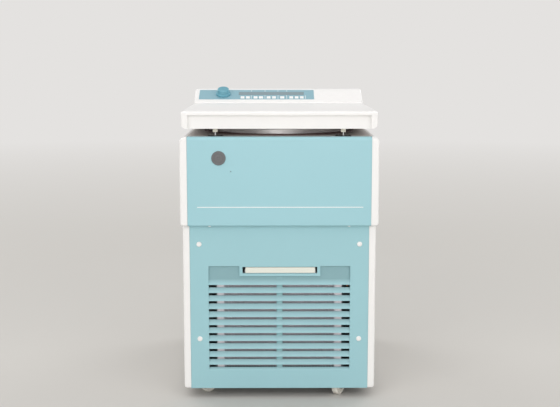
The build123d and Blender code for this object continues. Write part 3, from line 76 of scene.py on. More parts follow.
# Sizes and places of the small pieces, in millimetres
OVERLAY_T = 1.0 * MM
WINDOW_SIZE = (214.4, 22.4, 0.5)
WINDOW_X, WINDOW_S, WINDOW_SEAT = -23.5, 39.5, 0.12  # s runs up the slope from the overlay's edge
WINDOW_RIM, WINDOW_SINK = 0.9, 0.15
LINE_T, LINE_SEAT = 0.16, 0.05
LINE_X = (-89.5, -44.5, -1.5, 27.2, 88.6)  # the last one has no tick over the window
LINE_H, LINE_S = 24.0, 14.0
TICK_H, TICK_S = 9.0, 58.5
STRIPE_T = 0.3
STRIKER_H = 12.6  # block above its stem
LINER_SCREW_R, LINER_SCREW_H = 3.4, 1.2
LINER_SCREWS = ((243, -311), (249, -200), (249, -75), (243, 60))  # and as many on the left
NUT_H, NUT_REACH = 3.0, 13.7  # its seat, out from the middle of the wheel
REAR_SCREW_H, REAR_SCREW_EDGE = 1.8, 11.0
RATING_H, RATING_T, RATING_RIM, RATING_SINK = 46.0, 0.8, 2.2, 0.2
RATING_X, RATING_Z = 150.0, 300.0
GAP_LAMP_SIZE = (200.0, 4.0)
GAP_LAMP_FRONT, GAP_LAMP_RISE = 120.0, 4.0  # in front of the rotor's axis, above the deck


def linear(hex_colour):
    """An sRGB hex colour as linear RGBA."""
    parts = [int(hex_colour[i : i + 2], 16) / 255 for i in (1, 3, 5)]
    return [p / 12.92 if p <= 0.04045 else ((p + 0.055) / 1.055) ** 2.4 for p in parts] + [1.0]


def colour(name, description, hex_colour):
    """A colour setting of the sidebar."""
    return FloatVectorProperty(
        name=name, description=description, subtype="COLOR", size=4, min=0, max=1,
        default=linear(hex_colour),
    )


def length(name, description, millimetres):
    """A size setting of the sidebar."""
    return FloatProperty(
        name=name, description=description, default=millimetres * MM, unit="LENGTH",
        subtype="DISTANCE", precision=4,
    )


def power(name, description, watts):
    """A lamp setting of the sidebar."""
    return FloatProperty(name=name, description=description, default=watts, unit="POWER")


class CentrifugeColours(bpy.types.PropertyGroup):
    """Colours of the casing that a user would change."""

    casing: colour("Casing", "White moulded covers, lid and console", "#F6F4F2")
    front: colour("Front panel", "Powder-coated front of the rotor housing", "#A2CFD7")
    louvres: colour("Louvres", "Powder-coated louvred front of the cooling cabinet", "#A0CCD3")
    overlay: colour("Overlay", "Printed membrane of the console", "#8FB6C2")
    knob: colour("Knob", "Setting knob", "#6BA6B6")
    plug: colour("Release plug", "Plug over the emergency lid release", "#6C6C6D")
    tray: colour("Tray", "Pull-out condensate tray", "#E8E9DE")


class CentrifugeTrim(bpy.types.PropertyGroup):
    """Sizes of the printed lines and small fittings."""

    stripe_height: length("Stripe height", "Height of the line across the front", 2.2)
    stripe_z: length("Stripe level", "Middle of the line above the floor", 559.0)
    stripe_left: length("Stripe left end", "Distance left of the middle", 231.0)
    stripe_right: length("Stripe right end", "Distance right of the middle", 236.0)
    divider_width: length("Divider width", "Width of the lines between groups of keys", 1.5)
    screw_radius: length("Screw radius", "Head radius of the case screws", 3.6)
    nut_radius: length("Nut radius", "Corner radius of the caster axle nuts", 5.8)
    plate_width: length("Plate width", "Width of the blank rating plate", 78.0)


class CentrifugeStudio(bpy.types.PropertyGroup):
    """Camera and light of the studio."""

    lens: FloatProperty(name="Lens", description="Focal length", default=67.05, unit="CAMERA")
    distance: length("Camera distance", "Camera in front of the middle of the case", 3245.0)
    height: length("Camera height", "Camera above the floor", 984.0)
    offset: length("Camera offset", "Camera left of the middle", 16.0)
    pitch: FloatProperty(
        name="Camera pitch", description="Downward tilt", default=math.radians(8.13),
        subtype="ANGLE", unit="ROTATION",
    )
    yaw: FloatProperty(
        name="Camera yaw", description="Turn to the right", default=math.radians(0.35),
        subtype="ANGLE", unit="ROTATION",
    )
    key_power: power("Key light", "Power of the key lamp", 58)
    fill_power: power("Fill light", "Power of the fill lamp", 46)
    front_power: power("Front light", "Power of the lamp beside the camera", 12)
    gap_power: power("Gap light", "Power of the lamp in the gap under the lid", 0.14)
    top_power: power("Top light", "Power of the ceiling lamp", 34)
    back_power: power("Back light", "Power of the rear lamps", 60)
    ambient: FloatProperty(
        name="Ambient", description="Strength of the light from all round", default=0.42, min=0
    )
    floor: colour("Floor", "Pale floor", "#CDCAC5")
    wall: colour("Wall", "Pale wall", "#E4E2E0")
    reach: IntProperty(name="Floor reach", description="Radius of the floor in metres", default=30)


# Materials


def add_node(material, kind, sockets=None, **settings):
    """Adds one shader node; a value that is another node's socket is linked."""
    node = material.node_tree.nodes.new(kind)
    for name, value in settings.items():
        setattr(node, name, value)
    for name, value in (sockets or {}).items():
        if isinstance(value, bpy.types.NodeSocket):
            material.node_tree.links.new(value, node.inputs[name])
        else:
            node.inputs[name].default_value = value
    return node


def new_material(name):
    material = bpy.data.materials.new(name)
    material.use_nodes = True
    material.node_tree.nodes.clear()
    return material


def ramp(material, factor, low, high):
    """Maps a factor of 0 to 1 onto low to high."""
    return add_node(
        material, "ShaderNodeMapRange", {"Value": factor, "To Min": low, "To Max": high}
    ).outputs["Result"]


def shifted(rgba, change):
    """A colour made lighter or darker by a share."""
    return [max(0.0, min(1.0, part * (1 + change))) for part in rgba[:3]] + [1.0]


def surface(
    name, rgba, roughness, grain_mm, depth_mm, spread=0.04, shade=0.02, stretch=(1, 1, 1), **sockets
):
    """A finish with a grain of a real size: it gives relief, and a little change of gloss and shade.

    grain_mm is the distance between grains, depth_mm their height, spread the change of
    roughness, shade that of the colour, and stretch makes lines of the grain along an axis.
    """
    material = new_material(name)
    place = add_node(material, "ShaderNodeTexCoord").outputs["Object"]
    turned = add_node(
        material, "ShaderNodeMapping", {"Vector": place, "Scale": stretch}
    ).outputs["Vector"]
    grain = add_node(
        material, "ShaderNodeTexNoise", {"Vector": turned, "Scale": 1 / (grain_mm * MM), "Detail": 2.0}
    ).outputs["Fac"]
    cloud = add_node(
        material, "ShaderNodeTexNoise", {"Vector": place, "Scale": 7.0, "Detail": 3.0}
    ).outputs["Fac"]
    mixed = add_node(material, "ShaderNodeMix", {"Factor": cloud}, data_type="RGBA")
    # the colour sockets of a Mix node are found by type, as its names repeat
    low, high = [socket for socket in mixed.inputs if socket.type == "RGBA"]
    low.default_value, high.default_value = shifted(rgba, -shade), shifted(rgba, shade)
    tint = [socket for socket in mixed.outputs if socket.type == "RGBA"][0]
    relief = add_node(
        material, "ShaderNodeBump", {"Height": grain, "Strength": 1.0, "Distance": depth_mm * MM}
    ).outputs["Normal"]
    shader = add_node(
        material, "ShaderNodeBsdfPrincipled",
        {
            "Base Color": tint, "Normal": relief,
            "Roughness": ramp(material, grain, roughness - spread, roughness + spread), **sockets,
        },
    )  # fmt: skip
    add_node(material, "ShaderNodeOutputMaterial", {"Surface": shader.outputs["BSDF"]})
    return material


def shader_of(material):
    return next(node for node in material.node_tree.nodes if node.type == "BSDF_PRINCIPLED")


def two_part(material, level, rgba_above):
    """Gives what lies above a level another colour, and leaves the rest bare metal."""
    shader = shader_of(material)
    below = shader.inputs["Base Color"].links[0].from_socket
    place = add_node(material, "ShaderNodeTexCoord").outputs["Object"]
    split = add_node(material, "ShaderNodeSeparateXYZ", {"Vector": place}).outputs["Z"]
    above = add_node(
        material, "ShaderNodeMath", {0: split, 1: level}, operation="GREATER_THAN"
    ).outputs["Value"]
    mixed = add_node(material, "ShaderNodeMix", {"Factor": above}, data_type="RGBA")
    low, high = [socket for socket in mixed.inputs if socket.type == "RGBA"]
    material.node_tree.links.new(below, low)
    high.default_value = rgba_above
    tint = [socket for socket in mixed.outputs if socket.type == "RGBA"][0]
    material.node_tree.links.new(tint, shader.inputs["Base Color"])
    metal = ramp(material, above, 1.0, 0.0)
    material.node_tree.links.new(metal, shader.inputs["Metallic"])
    return material


def paint_shade_behind(material, front_y, depth, share):
    """Paints shade on what lies behind the front plane of a panel: the colour darkens with depth, a
    painted stand-in for the shade between slats.
    """
    shader = shader_of(material)
    tint = shader.inputs["Base Color"].links[0].from_socket
    place = add_node(material, "ShaderNodeTexCoord").outputs["Object"]
    y = add_node(material, "ShaderNodeSeparateXYZ", {"Vector": place}).outputs["Y"]
    light = add_node(
        material, "ShaderNodeMapRange",
        {"Value": y, "From Min": front_y, "From Max": front_y + depth, "To Min": 1.0, "To Max": share},
    ).outputs["Result"]  # fmt: skip
    dimmed = add_node(material, "ShaderNodeVectorMath", {0: tint, 1: light}, operation="MULTIPLY")
    material.node_tree.links.new(dimmed.outputs["Vector"], shader.inputs["Base Color"])
    return material


def put_on(material, *names):
    """Gives CAD nodes or pieces a material."""
    for name in names:
        mesh = bpy.data.objects[name].data
        mesh.materials.clear()
        mesh.materials.append(material)


# Modelling


def start_piece():
    if bpy.context.object and bpy.context.object.mode != "OBJECT":
        bpy.ops.object.mode_set(mode="OBJECT")
    bpy.ops.object.select_all(action="DESELECT")


def edit_faces(piece, wanted):
    """Enters edit mode with only the faces selected that wanted(face) names."""
    bpy.ops.object.mode_set(mode="EDIT")
    bpy.ops.mesh.select_mode(type="FACE")
    bpy.ops.mesh.select_all(action="DESELECT")
    bpy.ops.object.mode_set(mode="OBJECT")
    for face in piece.data.polygons:
        face.select = wanted(face)
    bpy.ops.object.mode_set(mode="EDIT")


def soften(piece, width, segments=2):
    """Bevels every sharp edge of a piece."""
    bpy.ops.object.mode_set(mode="OBJECT")
    bevel = piece.modifiers.new("edges", "BEVEL")
    bevel.width, bevel.segments, bevel.limit_method = width, segments, "ANGLE"
    bpy.ops.object.modifier_apply(modifier=bevel.name)


def slab(name, size, inset=0.0, sink=0.0, edge=0.1 * MM):
    """A thin block round the origin; with an inset its upper face sinks inside a rim."""
    start_piece()
    bpy.ops.mesh.primitive_cube_add(size=1)
    piece = bpy.context.object
    piece.name = name
    piece.scale = size
    bpy.ops.object.transform_apply(location=False, rotation=False, scale=True)
    if inset:
        edit_faces(piece, lambda face: face.normal.z > 0.9)
        bpy.ops.mesh.inset(thickness=inset)
        bpy.ops.transform.translate(value=(0, 0, -sink))
    soften(piece, edge)
    return piece


def screw_head(name, radius, height, sides=24):
    """A domed head with a socket in its top, seated at the origin and facing +Z."""
    start_piece()
    bpy.ops.mesh.primitive_cylinder_add(
        vertices=sides, radius=radius, depth=height, location=(0, 0, height / 2)
    )
    piece = bpy.context.object
    piece.name = name
    bpy.ops.object.transform_apply(location=True)
    edit_faces(piece, lambda face: face.normal.z > 0.9)
    bpy.ops.mesh.inset(thickness=radius * 0.3)
    bpy.ops.transform.translate(value=(0, 0, height * 0.3))
    bpy.ops.mesh.inset(thickness=radius * 0.25)
    bpy.ops.mesh.inset(thickness=radius * 0.03)
    bpy.ops.transform.translate(value=(0, 0, -height * 0.5))
    soften(piece, radius * 0.06)
    return piece


def copies(piece, places):
    """Copies a piece to each place, joins the copies, and leaves the object at the origin."""
    made = []
    for place in places:
        twin = piece.copy()
        twin.data = piece.data.copy()
        bpy.context.collection.objects.link(twin)
        twin.matrix_world = place
        made.append(twin)
    name = piece.name
    bpy.data.objects.remove(piece)
    start_piece()
    for twin in made:
        twin.select_set(True)
    bpy.context.view_layer.objects.active = made[0]
    bpy.ops.object.transform_apply(location=True, rotation=True, scale=True)
    if len(made) > 1:
        bpy.ops.object.join()
    joined = bpy.context.object
    joined.name = name
    bpy.ops.object.shade_smooth_by_angle(angle=math.radians(35))
    return joined


def finish_piece(piece, material, body):
    piece.data.materials.clear()
    piece.data.materials.append(material)
    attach(piece, body)
    return piece


def facing(direction, place):
    """A place whose +Z looks along a direction."""
    quaternion = Vector(direction).to_track_quat("Z", "Y")
    return Matrix.Translation(place) @ quaternion.to_matrix().to_4x4()


def on_slope(x, s, lift=0.0):
    """A place on the console: s up the slope from the overlay's lower edge."""
    low = Vector((0, OVERLAY[0][1], OVERLAY[0][2]))
    up = Vector((0, math.cos(SLOPE), math.sin(SLOPE)))
    # the low corner of the overlay's box lies in front of its lower edge and under its face
    foot = low + SLOPE_NORMAL * (OVERLAY_T * math.cos(SLOPE)) + up * (OVERLAY_T * math.sin(SLOPE))
    spot = foot + up * s + SLOPE_NORMAL * lift
    return Matrix.Translation((x, spot.y, spot.z)) @ Matrix.Rotation(SLOPE, 4, "X")


def ajar():
    """Moves a place of the closed lid to where the lid stands ajar."""
    turn = Matrix.Rotation(-LID_AJAR, 4, "X")
    return Matrix.Translation(LID_HINGE) @ turn @ Matrix.Translation(-LID_HINGE)


# Finishes, one operator for each group of like pieces


class CENTRIFUGE_OT_casing(bpy.types.Operator):
    """White covers, lid and console, and the painted panels between them"""

    bl_idname = "centrifuge.casing"
    bl_label = "Casing Finishes"

    def execute(self, context):
        colours = context.scene.centrifuge_colours
        # ABS, injection moulded: satin white with a fine spark-eroded grain
        shell = surface(
            "Moulded ABS", list(colours.casing), 0.42, 1.4, 0.012, spread=0.05, shade=0.006
        )
        put_on(
            shell, "upper_side_left", "upper_side_right", "lower_side_left", "lower_side_right",
            "lid_cover", "console_housing",
        )  # fmt: skip
        # steel sheet, powder-coated: soft gloss over a faint orange peel
        front = surface(
            "Teal powder coat", list(colours.front), 0.38, 2.6, 0.02, spread=0.05, shade=0.012
        )
        put_on(front, "upper_front_panel")
        louvres = surface(
            "Teal louvre coat with painted shade", list(colours.louvres), 0.42, 2.6, 0.02, spread=0.05, shade=0.015
        )
        # painted shade: slats and recesses behind the louvres' front plane get darker with depth
        paint_shade_behind(louvres, LOUVRE_PANEL[0][1] + 0.2 * MM, 5.0 * MM, 0.7)
        put_on(louvres, "grille_panel")
        # steel sheet, powder-coated pale grey round the chamber
        deck = surface(
            "Grey powder coat", linear("#E4DFDB"), 0.45, 2.2, 0.02, spread=0.05, shade=0.02
        )
        put_on(deck, "top_deck")
        rear = surface(
            "White powder coat", linear("#EDECEA"), 0.45, 2.4, 0.02, spread=0.05, shade=0.01
        )
        put_on(rear, "rear_panel")
        # nylon caps: plain moulded white
        caps = surface("Nylon caps", linear("#F4F2F0"), 0.4, 1.2, 0.01, shade=0.005)
        put_on(caps, "panel_screws")
        # polypropylene plug: mid grey and matt
        plug = surface("Grey moulded plug", list(colours.plug), 0.5, 1.0, 0.015, shade=0.02)
        put_on(plug, "release_plug")
        # polystyrene tray: cream, with a slight sheen
        tray = surface("Cream moulded tray", list(colours.tray), 0.4, 1.4, 0.01, shade=0.012)
        put_on(tray, "condensate_tray")
        return {"FINISHED"}


class CENTRIFUGE_OT_console(bpy.types.Operator):
    """Membrane, display window, knob and keys of the sloped console"""

    bl_idname = "centrifuge.console"
    bl_label = "Console"

    def execute(self, context):
        colours, trim = context.scene.centrifuge_colours, context.scene.centrifuge_trim
        # polyester film, printed from behind: flat teal under a matt skin
        film = surface("Printed membrane", list(colours.overlay), 0.48, 1.0, 0.008, shade=0.01)
        put_on(film, "control_overlay")
        # ABS knob: moulded through in teal, smoother than the casing
        knob = surface("Moulded knob", list(colours.knob), 0.34, 1.1, 0.008, shade=0.01)
        put_on(knob, "control_knob")
        # silicone key caps: matt white
        keys = surface("Key caps", linear("#FAF9F8"), 0.5, 1.0, 0.008, shade=0.004)
        put_on(keys, *[name for name in frame["nodes"] if name.startswith("key_")])
        # acrylic window: grey tinted, glossy, over a dark display
        glass = surface(
            "Display window", linear("#8C9DA3"), 0.16, 40.0, 0.01, spread=0.02, shade=0.03
        )
        size = [side * MM for side in WINDOW_SIZE]
        window = slab("display_window", size, inset=WINDOW_RIM * MM, sink=WINDOW_SINK * MM)
        window = copies(window, [on_slope(WINDOW_X * MM, WINDOW_S * MM, WINDOW_SEAT * MM)])
        finish_piece(window, glass, "root")
        # screen-printed lines between the groups of keys
        ink = surface("White ink", linear("#F4F6F6"), 0.5, 1.0, 0.004, shade=0.0)
        lines = []
        spots = [(x, LINE_S, LINE_H) for x in LINE_X] + [(x, TICK_S, TICK_H) for x in LINE_X[:-1]]
        for x, s, height in spots:
            line = slab("line", (trim.divider_width, height * MM, LINE_T * MM), edge=0.03 * MM)
            lines.append(copies(line, [on_slope(x * MM, s * MM, LINE_SEAT * MM)]))
        start_piece()
        for line in lines:
            line.select_set(True)
        context.view_layer.objects.active = lines[0]
        bpy.ops.object.join()
        dividers = context.object
        dividers.name = "overlay_lines"
        finish_piece(dividers, ink, "root")
        return {"FINISHED"}


class CENTRIFUGE_OT_front_line(bpy.types.Operator):
    """White line printed across the front of the rotor housing"""

    bl_idname = "centrifuge.front_line"
    bl_label = "Front Line"

    def execute(self, context):
        trim = context.scene.centrifuge_trim
        ink = surface("White line ink", linear("#F7F8F7"), 0.45, 1.0, 0.004, shade=0.0)
        width = trim.stripe_left + trim.stripe_right
        line = slab("front_line", (width, STRIPE_T * MM, trim.stripe_height), edge=0.05 * MM)
        middle = ((trim.stripe_right - trim.stripe_left) / 2, FRONT_PANEL[0][1], trim.stripe_z)
        line = copies(line, [Matrix.Translation(middle)])
        finish_piece(line, ink, "root")
        return {"FINISHED"}


class CENTRIFUGE_OT_chamber(bpy.types.Operator):
    """Steel bowl, seal, rotor head, buckets and the fittings of the lid"""

    bl_idname = "centrifuge.chamber"
    bl_label = "Chamber and Rotor"

    def execute(self, context):
        # stainless steel, deep drawn and polished round: fine level rings
        bowl = surface(
            "Drawn stainless steel", linear("#D9D4D2"), 0.42, 3.0, 0.006, spread=0.08, shade=0.03,
            stretch=(0.05, 0.05, 1.0), Metallic=1.0,
        )  # fmt: skip
        put_on(bowl, "chamber_bowl")
        # silicone rubber, extruded and joined: dark, soft and dull
        seal = surface("Silicone seal", linear("#5E4A48"), 0.62, 1.0, 0.01, shade=0.04)
        put_on(seal, "bowl_gasket")
        # aluminium, turned and anodised: satin grey with a trace of the tool
        rotor = surface(
            "Anodised rotor head", linear("#9A9DA1"), 0.34, 1.6, 0.008, spread=0.06, shade=0.03,
            stretch=(1.0, 1.0, 0.1), Metallic=1.0,
        )  # fmt: skip
        put_on(rotor, "rotor_yoke")
        buckets = surface(
            "Anodised buckets", linear("#B9BCC0"), 0.3, 1.6, 0.006, spread=0.06, shade=0.03,
            stretch=(0.1, 0.1, 1.0), Metallic=1.0,
        )  # fmt: skip
        put_on(buckets, *[name for name in frame["nodes"] if name.startswith("bucket_")])
        # steel, ground: bright with faint lines
        ground = surface(
            "Ground steel", linear("#B4B5B7"), 0.28, 1.2, 0.005, spread=0.06, shade=0.03,
            stretch=(0.1, 1.0, 1.0), Metallic=1.0,
        )  # fmt: skip
        put_on(ground, "drive_shaft", "latch_shaft", "lid_hinges")
        # steel, chrome-plated: the mirror-bright rod of a gas strut
        chrome = surface(
            "Chromed rod", linear("#D4D6D8"), 0.1, 6.0, 0.002, spread=0.02, shade=0.01, Metallic=1.0
        )
        put_on(chrome, "strut_rods")
        # steel tube, stove-enamelled black
        enamel = surface("Black strut enamel", linear("#2A2A2C"), 0.34, 1.6, 0.01, shade=0.03)
        put_on(enamel, "strut_cylinders")
        # steel, pressed and enamelled light grey
        liner = surface("Grey lid enamel", linear("#C4BFBC"), 0.36, 2.4, 0.015, shade=0.02)
        put_on(liner, "lid_liner")
        # nylon block on a bright steel stem
        stem = surface("Striker block and stem", linear("#BDBDBB"), 0.36, 1.4, 0.006, shade=0.02)
        block_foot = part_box("lid_latch_pins")[1][2] - STRIKER_H * MM
        two_part(stem, block_foot, linear("#E3DCCB"))
        put_on(stem, "lid_latch_pins")
        # glass-filled nylon: black guide plates
        guide = surface("Black guide plate", linear("#2B2728"), 0.5, 1.2, 0.02, shade=0.04)
        put_on(guide, "latch_plates")
        # foam, cut: pale and open
        foam = surface("Rigid foam", linear("#DED3B0"), 0.85, 3.0, 0.2, shade=0.05)
        put_on(foam, "bowl_insulation")
        # steel screws, zinc-plated: seated on the lid's inner plate, facing the deck
        steel = surface(
            "Zinc-plated screws", linear("#C9CBCC"), 0.3, 0.8, 0.004, spread=0.05, Metallic=1.0
        )
        places = [
            ajar() @ facing((0, 0, -1), (side * x * MM, y * MM, LINER_Z))
            for x, y in LINER_SCREWS
            for side in (-1, 1)
        ]
        screws = copies(screw_head("liner_screws", LINER_SCREW_R * MM, LINER_SCREW_H * MM), places)
        finish_piece(screws, steel, "lid")
        return {"FINISHED"}


class CENTRIFUGE_OT_machinery(bpy.types.Operator):
    """Frame, drive and cooling machinery of the lower cabinet"""

    bl_idname = "centrifuge.machinery"
    bl_label = "Machinery"

    def execute(self, context):
        # steel sheet, zinc-plated: cool grey with a soft spangle
        zinc = surface(
            "Zinc-plated sheet", linear("#A9ADB0"), 0.42, 6.0, 0.01, spread=0.1, shade=0.08,
            Metallic=0.85,
        )  # fmt: skip
        put_on(zinc, "chassis")
        # aluminium fins between galvanised end plates: bright, with cut edges that sparkle
        fins = surface(
            "Condenser fins", linear("#D6D2D8"), 0.36, 2.4, 0.3, spread=0.15, shade=0.2, Metallic=0.5
        )
        put_on(fins, "condenser")
        # polypropylene, moulded black
        fan = surface("Black fan", linear("#26282A"), 0.45, 1.6, 0.01, shade=0.03)
        put_on(fan, "condenser_fan")
        # cast aluminium and steel, painted dark grey
        paint = surface("Grey motor paint", linear("#5C6165"), 0.48, 2.4, 0.05, shade=0.05)
        put_on(paint, "drive_motor", "fan_motor")
        rubber = surface("Black rubber mounts", linear("#1F1F1F"), 0.7, 1.2, 0.02, shade=0.04)
        put_on(rubber, "motor_mounts")
        # steel can, dipped in black enamel: deep gloss with runs
        can = surface("Black can enamel", linear("#1C1D1F"), 0.26, 9.0, 0.05, shade=0.05)
        put_on(can, "compressor")
        # copper tube, drawn: warm, dulled by handling
        copper = surface(
            "Drawn copper", linear("#C88A68"), 0.3, 5.0, 0.01, spread=0.1, shade=0.08, Metallic=1.0
        )
        put_on(copper, "refrigerant_circuit")
        # steel sheet, folded and painted grey
        box = surface("Grey sheet box", linear("#B7BABB"), 0.42, 2.4, 0.02, shade=0.02)
        put_on(box, "electronics_box")
        # glass-filled nylon, moulded black
        black = surface("Black inlet nylon", linear("#222224"), 0.42, 1.2, 0.012, shade=0.03)
        put_on(black, "power_inlet", "mains_switch")
        return {"FINISHED"}


class CENTRIFUGE_OT_casters(bpy.types.Operator):
    """Swivel casters, with nuts on the ends of their axles"""

    bl_idname = "centrifuge.casters"
    bl_label = "Casters"

    def execute(self, context):
        trim = context.scene.centrifuge_trim
        # steel, pressed and zinc-plated: bright grey, blotched
        fork = surface(
            "Zinc-plated fork", linear("#B6B8B9"), 0.36, 5.0, 0.01, spread=0.08, shade=0.06, Metallic=0.9
        )
        # polyamide wheel: off-white, moulded
        wheel = surface("Polyamide wheel", linear("#ECE8DE"), 0.44, 2.0, 0.012, shade=0.03)
        # steel nut, bright
        steel = surface(
            "Axle nut steel", linear("#C2C4C5"), 0.3, 0.8, 0.004, spread=0.05, Metallic=1.0
        )
        for corner in ("front_left", "front_right", "rear_left", "rear_right"):
            put_on(fork, f"caster_fork_{corner}")
            put_on(wheel, f"caster_wheel_{corner}")
            joint = JOINTS[f"roll_{corner}"]
            axis, middle = Vector(joint["axis"]).normalized(), Vector(joint["pos_m"])
            ends = [facing(axis * side, middle + axis * side * NUT_REACH * MM) for side in (-1, 1)]
            nut = screw_head(f"axle_nuts_{corner}", trim.nut_radius, NUT_H * MM, sides=6)
            finish_piece(copies(nut, ends), steel, f"caster_{corner}")
        return {"FINISHED"}


class CENTRIFUGE_OT_rear(bpy.types.Operator):
    """Screws and the blank rating plate of the rear panel"""

    bl_idname = "centrifuge.rear"
    bl_label = "Rear Fittings"

    def execute(self, context):
        trim = context.scene.centrifuge_trim
        (x0, _, z0), (x1, y1, z1) = REAR_PANEL
        # steel screws, bright
        steel = surface(
            "Bright screws", linear("#C9CBCC"), 0.3, 0.8, 0.004, spread=0.05, Metallic=1.0
        )
        edge = REAR_SCREW_EDGE * MM
        rows = [z0 + edge + share * (z1 - z0 - 2 * edge) for share in (0, 0.25, 0.5, 0.75, 1)]
        spots = [(x, z) for x in (x0 + edge, x1 - edge) for z in rows]
        spots += [(0.0, rows[0]), (0.0, rows[-1])]
        places = [facing((0, 1, 0), (x, y1 - 0.05 * MM, z)) for x, z in spots]
        screws = copies(screw_head("rear_screws", trim.screw_radius, REAR_SCREW_H * MM), places)
        finish_piece(screws, steel, "root")
        # aluminium plate, left blank: matt anodised, its face set inside a raised rim
        metal = surface(
            "Blank rating plate", linear("#C5C7C8"), 0.4, 1.4, 0.004, stretch=(0.06, 1, 1), Metallic=1.0
        )
        size = (trim.plate_width, RATING_H * MM, RATING_T * MM)
        plate = slab("rating_plate", size, inset=RATING_RIM * MM, sink=RATING_SINK * MM)
        centre = (RATING_X * MM, y1 + 0.35 * MM, RATING_Z * MM)
        finish_piece(copies(plate, [facing((0, 1, 0), centre)]), metal, "root")
        return {"FINISHED"}


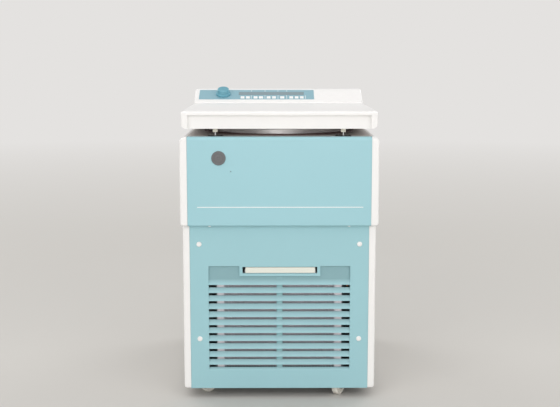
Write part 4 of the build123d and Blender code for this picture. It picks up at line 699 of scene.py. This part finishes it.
class CENTRIFUGE_OT_studio(bpy.types.Operator):
    """Pale floor, soft lamps, surroundings and the camera"""

    bl_idname = "centrifuge.studio"
    bl_label = "Studio"

    def execute(self, context):
        studio = context.scene.centrifuge_studio
        start_piece()
        bpy.ops.mesh.primitive_circle_add(vertices=128, radius=studio.reach, fill_type="NGON")
        floor = context.object
        floor.name = "floor"
        floor.data.materials.append(self.floor_material(studio))
        aim = Vector((0, 0, 0.48))
        lamps = (
            ("key_lamp", (-2.3, -3.7, 2.4), 3.0, studio.key_power),
            ("fill_lamp", (2.6, -3.5, 1.8), 3.0, studio.fill_power),
            ("front_lamp", (0.1, -3.7, 0.96), 0.4, studio.front_power),
            ("top_lamp", (0.0, -0.4, 3.6), 3.2, studio.top_power),
            ("rear_left_lamp", (-3.0, 3.0, 2.4), 3.0, studio.back_power),
            ("rear_right_lamp", (3.0, 3.0, 2.4), 3.0, studio.back_power),
        )
        for name, place, size, power in lamps:
            bpy.ops.object.light_add(type="AREA", location=place)
            lamp = context.object
            lamp.name = name
            lamp.data.shape, lamp.data.size, lamp.data.energy = "SQUARE", size, power
            lamp.rotation_euler = (aim - Vector(place)).to_track_quat("-Z", "Y").to_euler()
        # light bounced into the chamber through the gap under the lid
        spot = (0, ROTOR.y - GAP_LAMP_FRONT * MM, DECK[1][2] + GAP_LAMP_RISE * MM)
        bpy.ops.object.light_add(type="AREA", location=spot)
        lamp = context.object
        lamp.name = "gap_lamp"
        lamp.data.shape, lamp.data.energy = "RECTANGLE", studio.gap_power
        lamp.data.size, lamp.data.size_y = [side * MM for side in GAP_LAMP_SIZE]
        lamp.rotation_euler = Vector((0, 1, -0.08)).to_track_quat("-Z", "Y").to_euler()
        self.surroundings(context, studio)
        spot = (-studio.offset, -studio.distance, studio.height)
        turn = (math.pi / 2 - studio.pitch, 0, -studio.yaw)
        bpy.ops.object.camera_add(location=spot, rotation=turn)
        camera = context.object
        camera.name = "camera"
        camera.data.sensor_width, camera.data.lens = 36.0, studio.lens
        camera.data.clip_end = 100.0
        context.scene.camera = camera
        context.scene.view_settings.view_transform = "Standard"
        return {"FINISHED"}

    def floor_material(self, studio):
        """Painted floor: lit near the object, and fading to the even wall colour far off."""
        material = new_material("Pale floor")
        place = add_node(material, "ShaderNodeTexCoord").outputs["Object"]
        away = add_node(
            material, "ShaderNodeVectorMath", {0: place}, operation="LENGTH"
        ).outputs["Value"]
        far = add_node(
            material, "ShaderNodeMapRange", {"Value": away, "From Min": 0.9, "From Max": 3.4},
            interpolation_type="SMOOTHSTEP",
        ).outputs["Result"]  # fmt: skip
        matt = add_node(
            material, "ShaderNodeBsdfPrincipled", {"Base Color": list(studio.floor), "Roughness": 0.85}
        ).outputs["BSDF"]
        rise = add_node(
            material, "ShaderNodeMapRange", {"Value": away, "From Min": 2.0, "From Max": 9.0},
        ).outputs["Result"]  # fmt: skip
        mixed = add_node(material, "ShaderNodeMix", {"Factor": rise}, data_type="RGBA")
        near_side, far_side = [socket for socket in mixed.inputs if socket.type == "RGBA"]
        near_side.default_value, far_side.default_value = list(studio.floor), list(studio.wall)
        tint = [socket for socket in mixed.outputs if socket.type == "RGBA"][0]
        even = add_node(
            material, "ShaderNodeEmission", {"Color": tint, "Strength": 1.0}
        ).outputs["Emission"]
        rays = add_node(material, "ShaderNodeLightPath")
        seen = add_node(
            material, "ShaderNodeMath",
            {0: rays.outputs["Is Camera Ray"], 1: rays.outputs["Is Glossy Ray"]}, operation="MAXIMUM",
        ).outputs["Value"]  # fmt: skip
        share = add_node(
            material, "ShaderNodeMath", {0: far, 1: seen}, operation="MULTIPLY"
        ).outputs["Value"]
        both = add_node(
            material, "ShaderNodeMixShader", {"Fac": share, 1: matt, 2: even}
        ).outputs["Shader"]
        add_node(material, "ShaderNodeOutputMaterial", {"Surface": both})
        return material

    def surroundings(self, context, studio):
        """Even light from all round; the camera sees the wall's colour."""
        world = bpy.data.worlds.new("Studio")
        world.use_nodes = True
        world.node_tree.nodes.clear()
        context.scene.world = world
        rays = add_node(world, "ShaderNodeLightPath")
        seen = rays.outputs["Is Camera Ray"]
        ambient = add_node(
            world, "ShaderNodeBackground", {"Color": (1, 1, 1, 1), "Strength": studio.ambient}
        )
        wall = add_node(
            world, "ShaderNodeBackground", {"Color": list(studio.wall), "Strength": 1.0}
        )
        both = add_node(
            world, "ShaderNodeMixShader",
            {"Fac": seen, 1: ambient.outputs["Background"], 2: wall.outputs["Background"]},
        ).outputs["Shader"]  # fmt: skip
        add_node(world, "ShaderNodeOutputWorld", {"Surface": both})


OPERATORS = (
    CENTRIFUGE_OT_casing,
    CENTRIFUGE_OT_console,
    CENTRIFUGE_OT_front_line,
    CENTRIFUGE_OT_chamber,
    CENTRIFUGE_OT_machinery,
    CENTRIFUGE_OT_casters,
    CENTRIFUGE_OT_rear,
    CENTRIFUGE_OT_studio,
)


class CENTRIFUGE_PT_sidebar(bpy.types.Panel):
    """Lists the centrifuge's settings and its operators"""

    bl_idname = "CENTRIFUGE_PT_sidebar"
    bl_label = "Centrifuge"
    bl_space_type = "VIEW_3D"
    bl_region_type = "UI"
    bl_category = "Centrifuge"

    def draw(self, context):
        layout = self.layout
        for group in ("centrifuge_colours", "centrifuge_trim", "centrifuge_studio"):
            settings = getattr(context.scene, group)
            column = layout.column()
            for name in settings.__annotations__:
                column.prop(settings, name)
        for operator in OPERATORS:
            layout.operator(operator.bl_idname)


CLASSES = (CentrifugeColours, CentrifugeTrim, CentrifugeStudio, *OPERATORS, CENTRIFUGE_PT_sidebar)


def register():
    for item in CLASSES:
        bpy.utils.register_class(item)
    bpy.types.Scene.centrifuge_colours = PointerProperty(type=CentrifugeColours)
    bpy.types.Scene.centrifuge_trim = PointerProperty(type=CentrifugeTrim)
    bpy.types.Scene.centrifuge_studio = PointerProperty(type=CentrifugeStudio)


def unregister():
    for name in ("centrifuge_colours", "centrifuge_trim", "centrifuge_studio"):
        delattr(bpy.types.Scene, name)
    for item in reversed(CLASSES):
        bpy.utils.unregister_class(item)


def main():
    register()
    for operator in OPERATORS:
        group, name = operator.bl_idname.split(".")
        getattr(getattr(bpy.ops, group), name)()


if __name__ == "__main__":
    main()
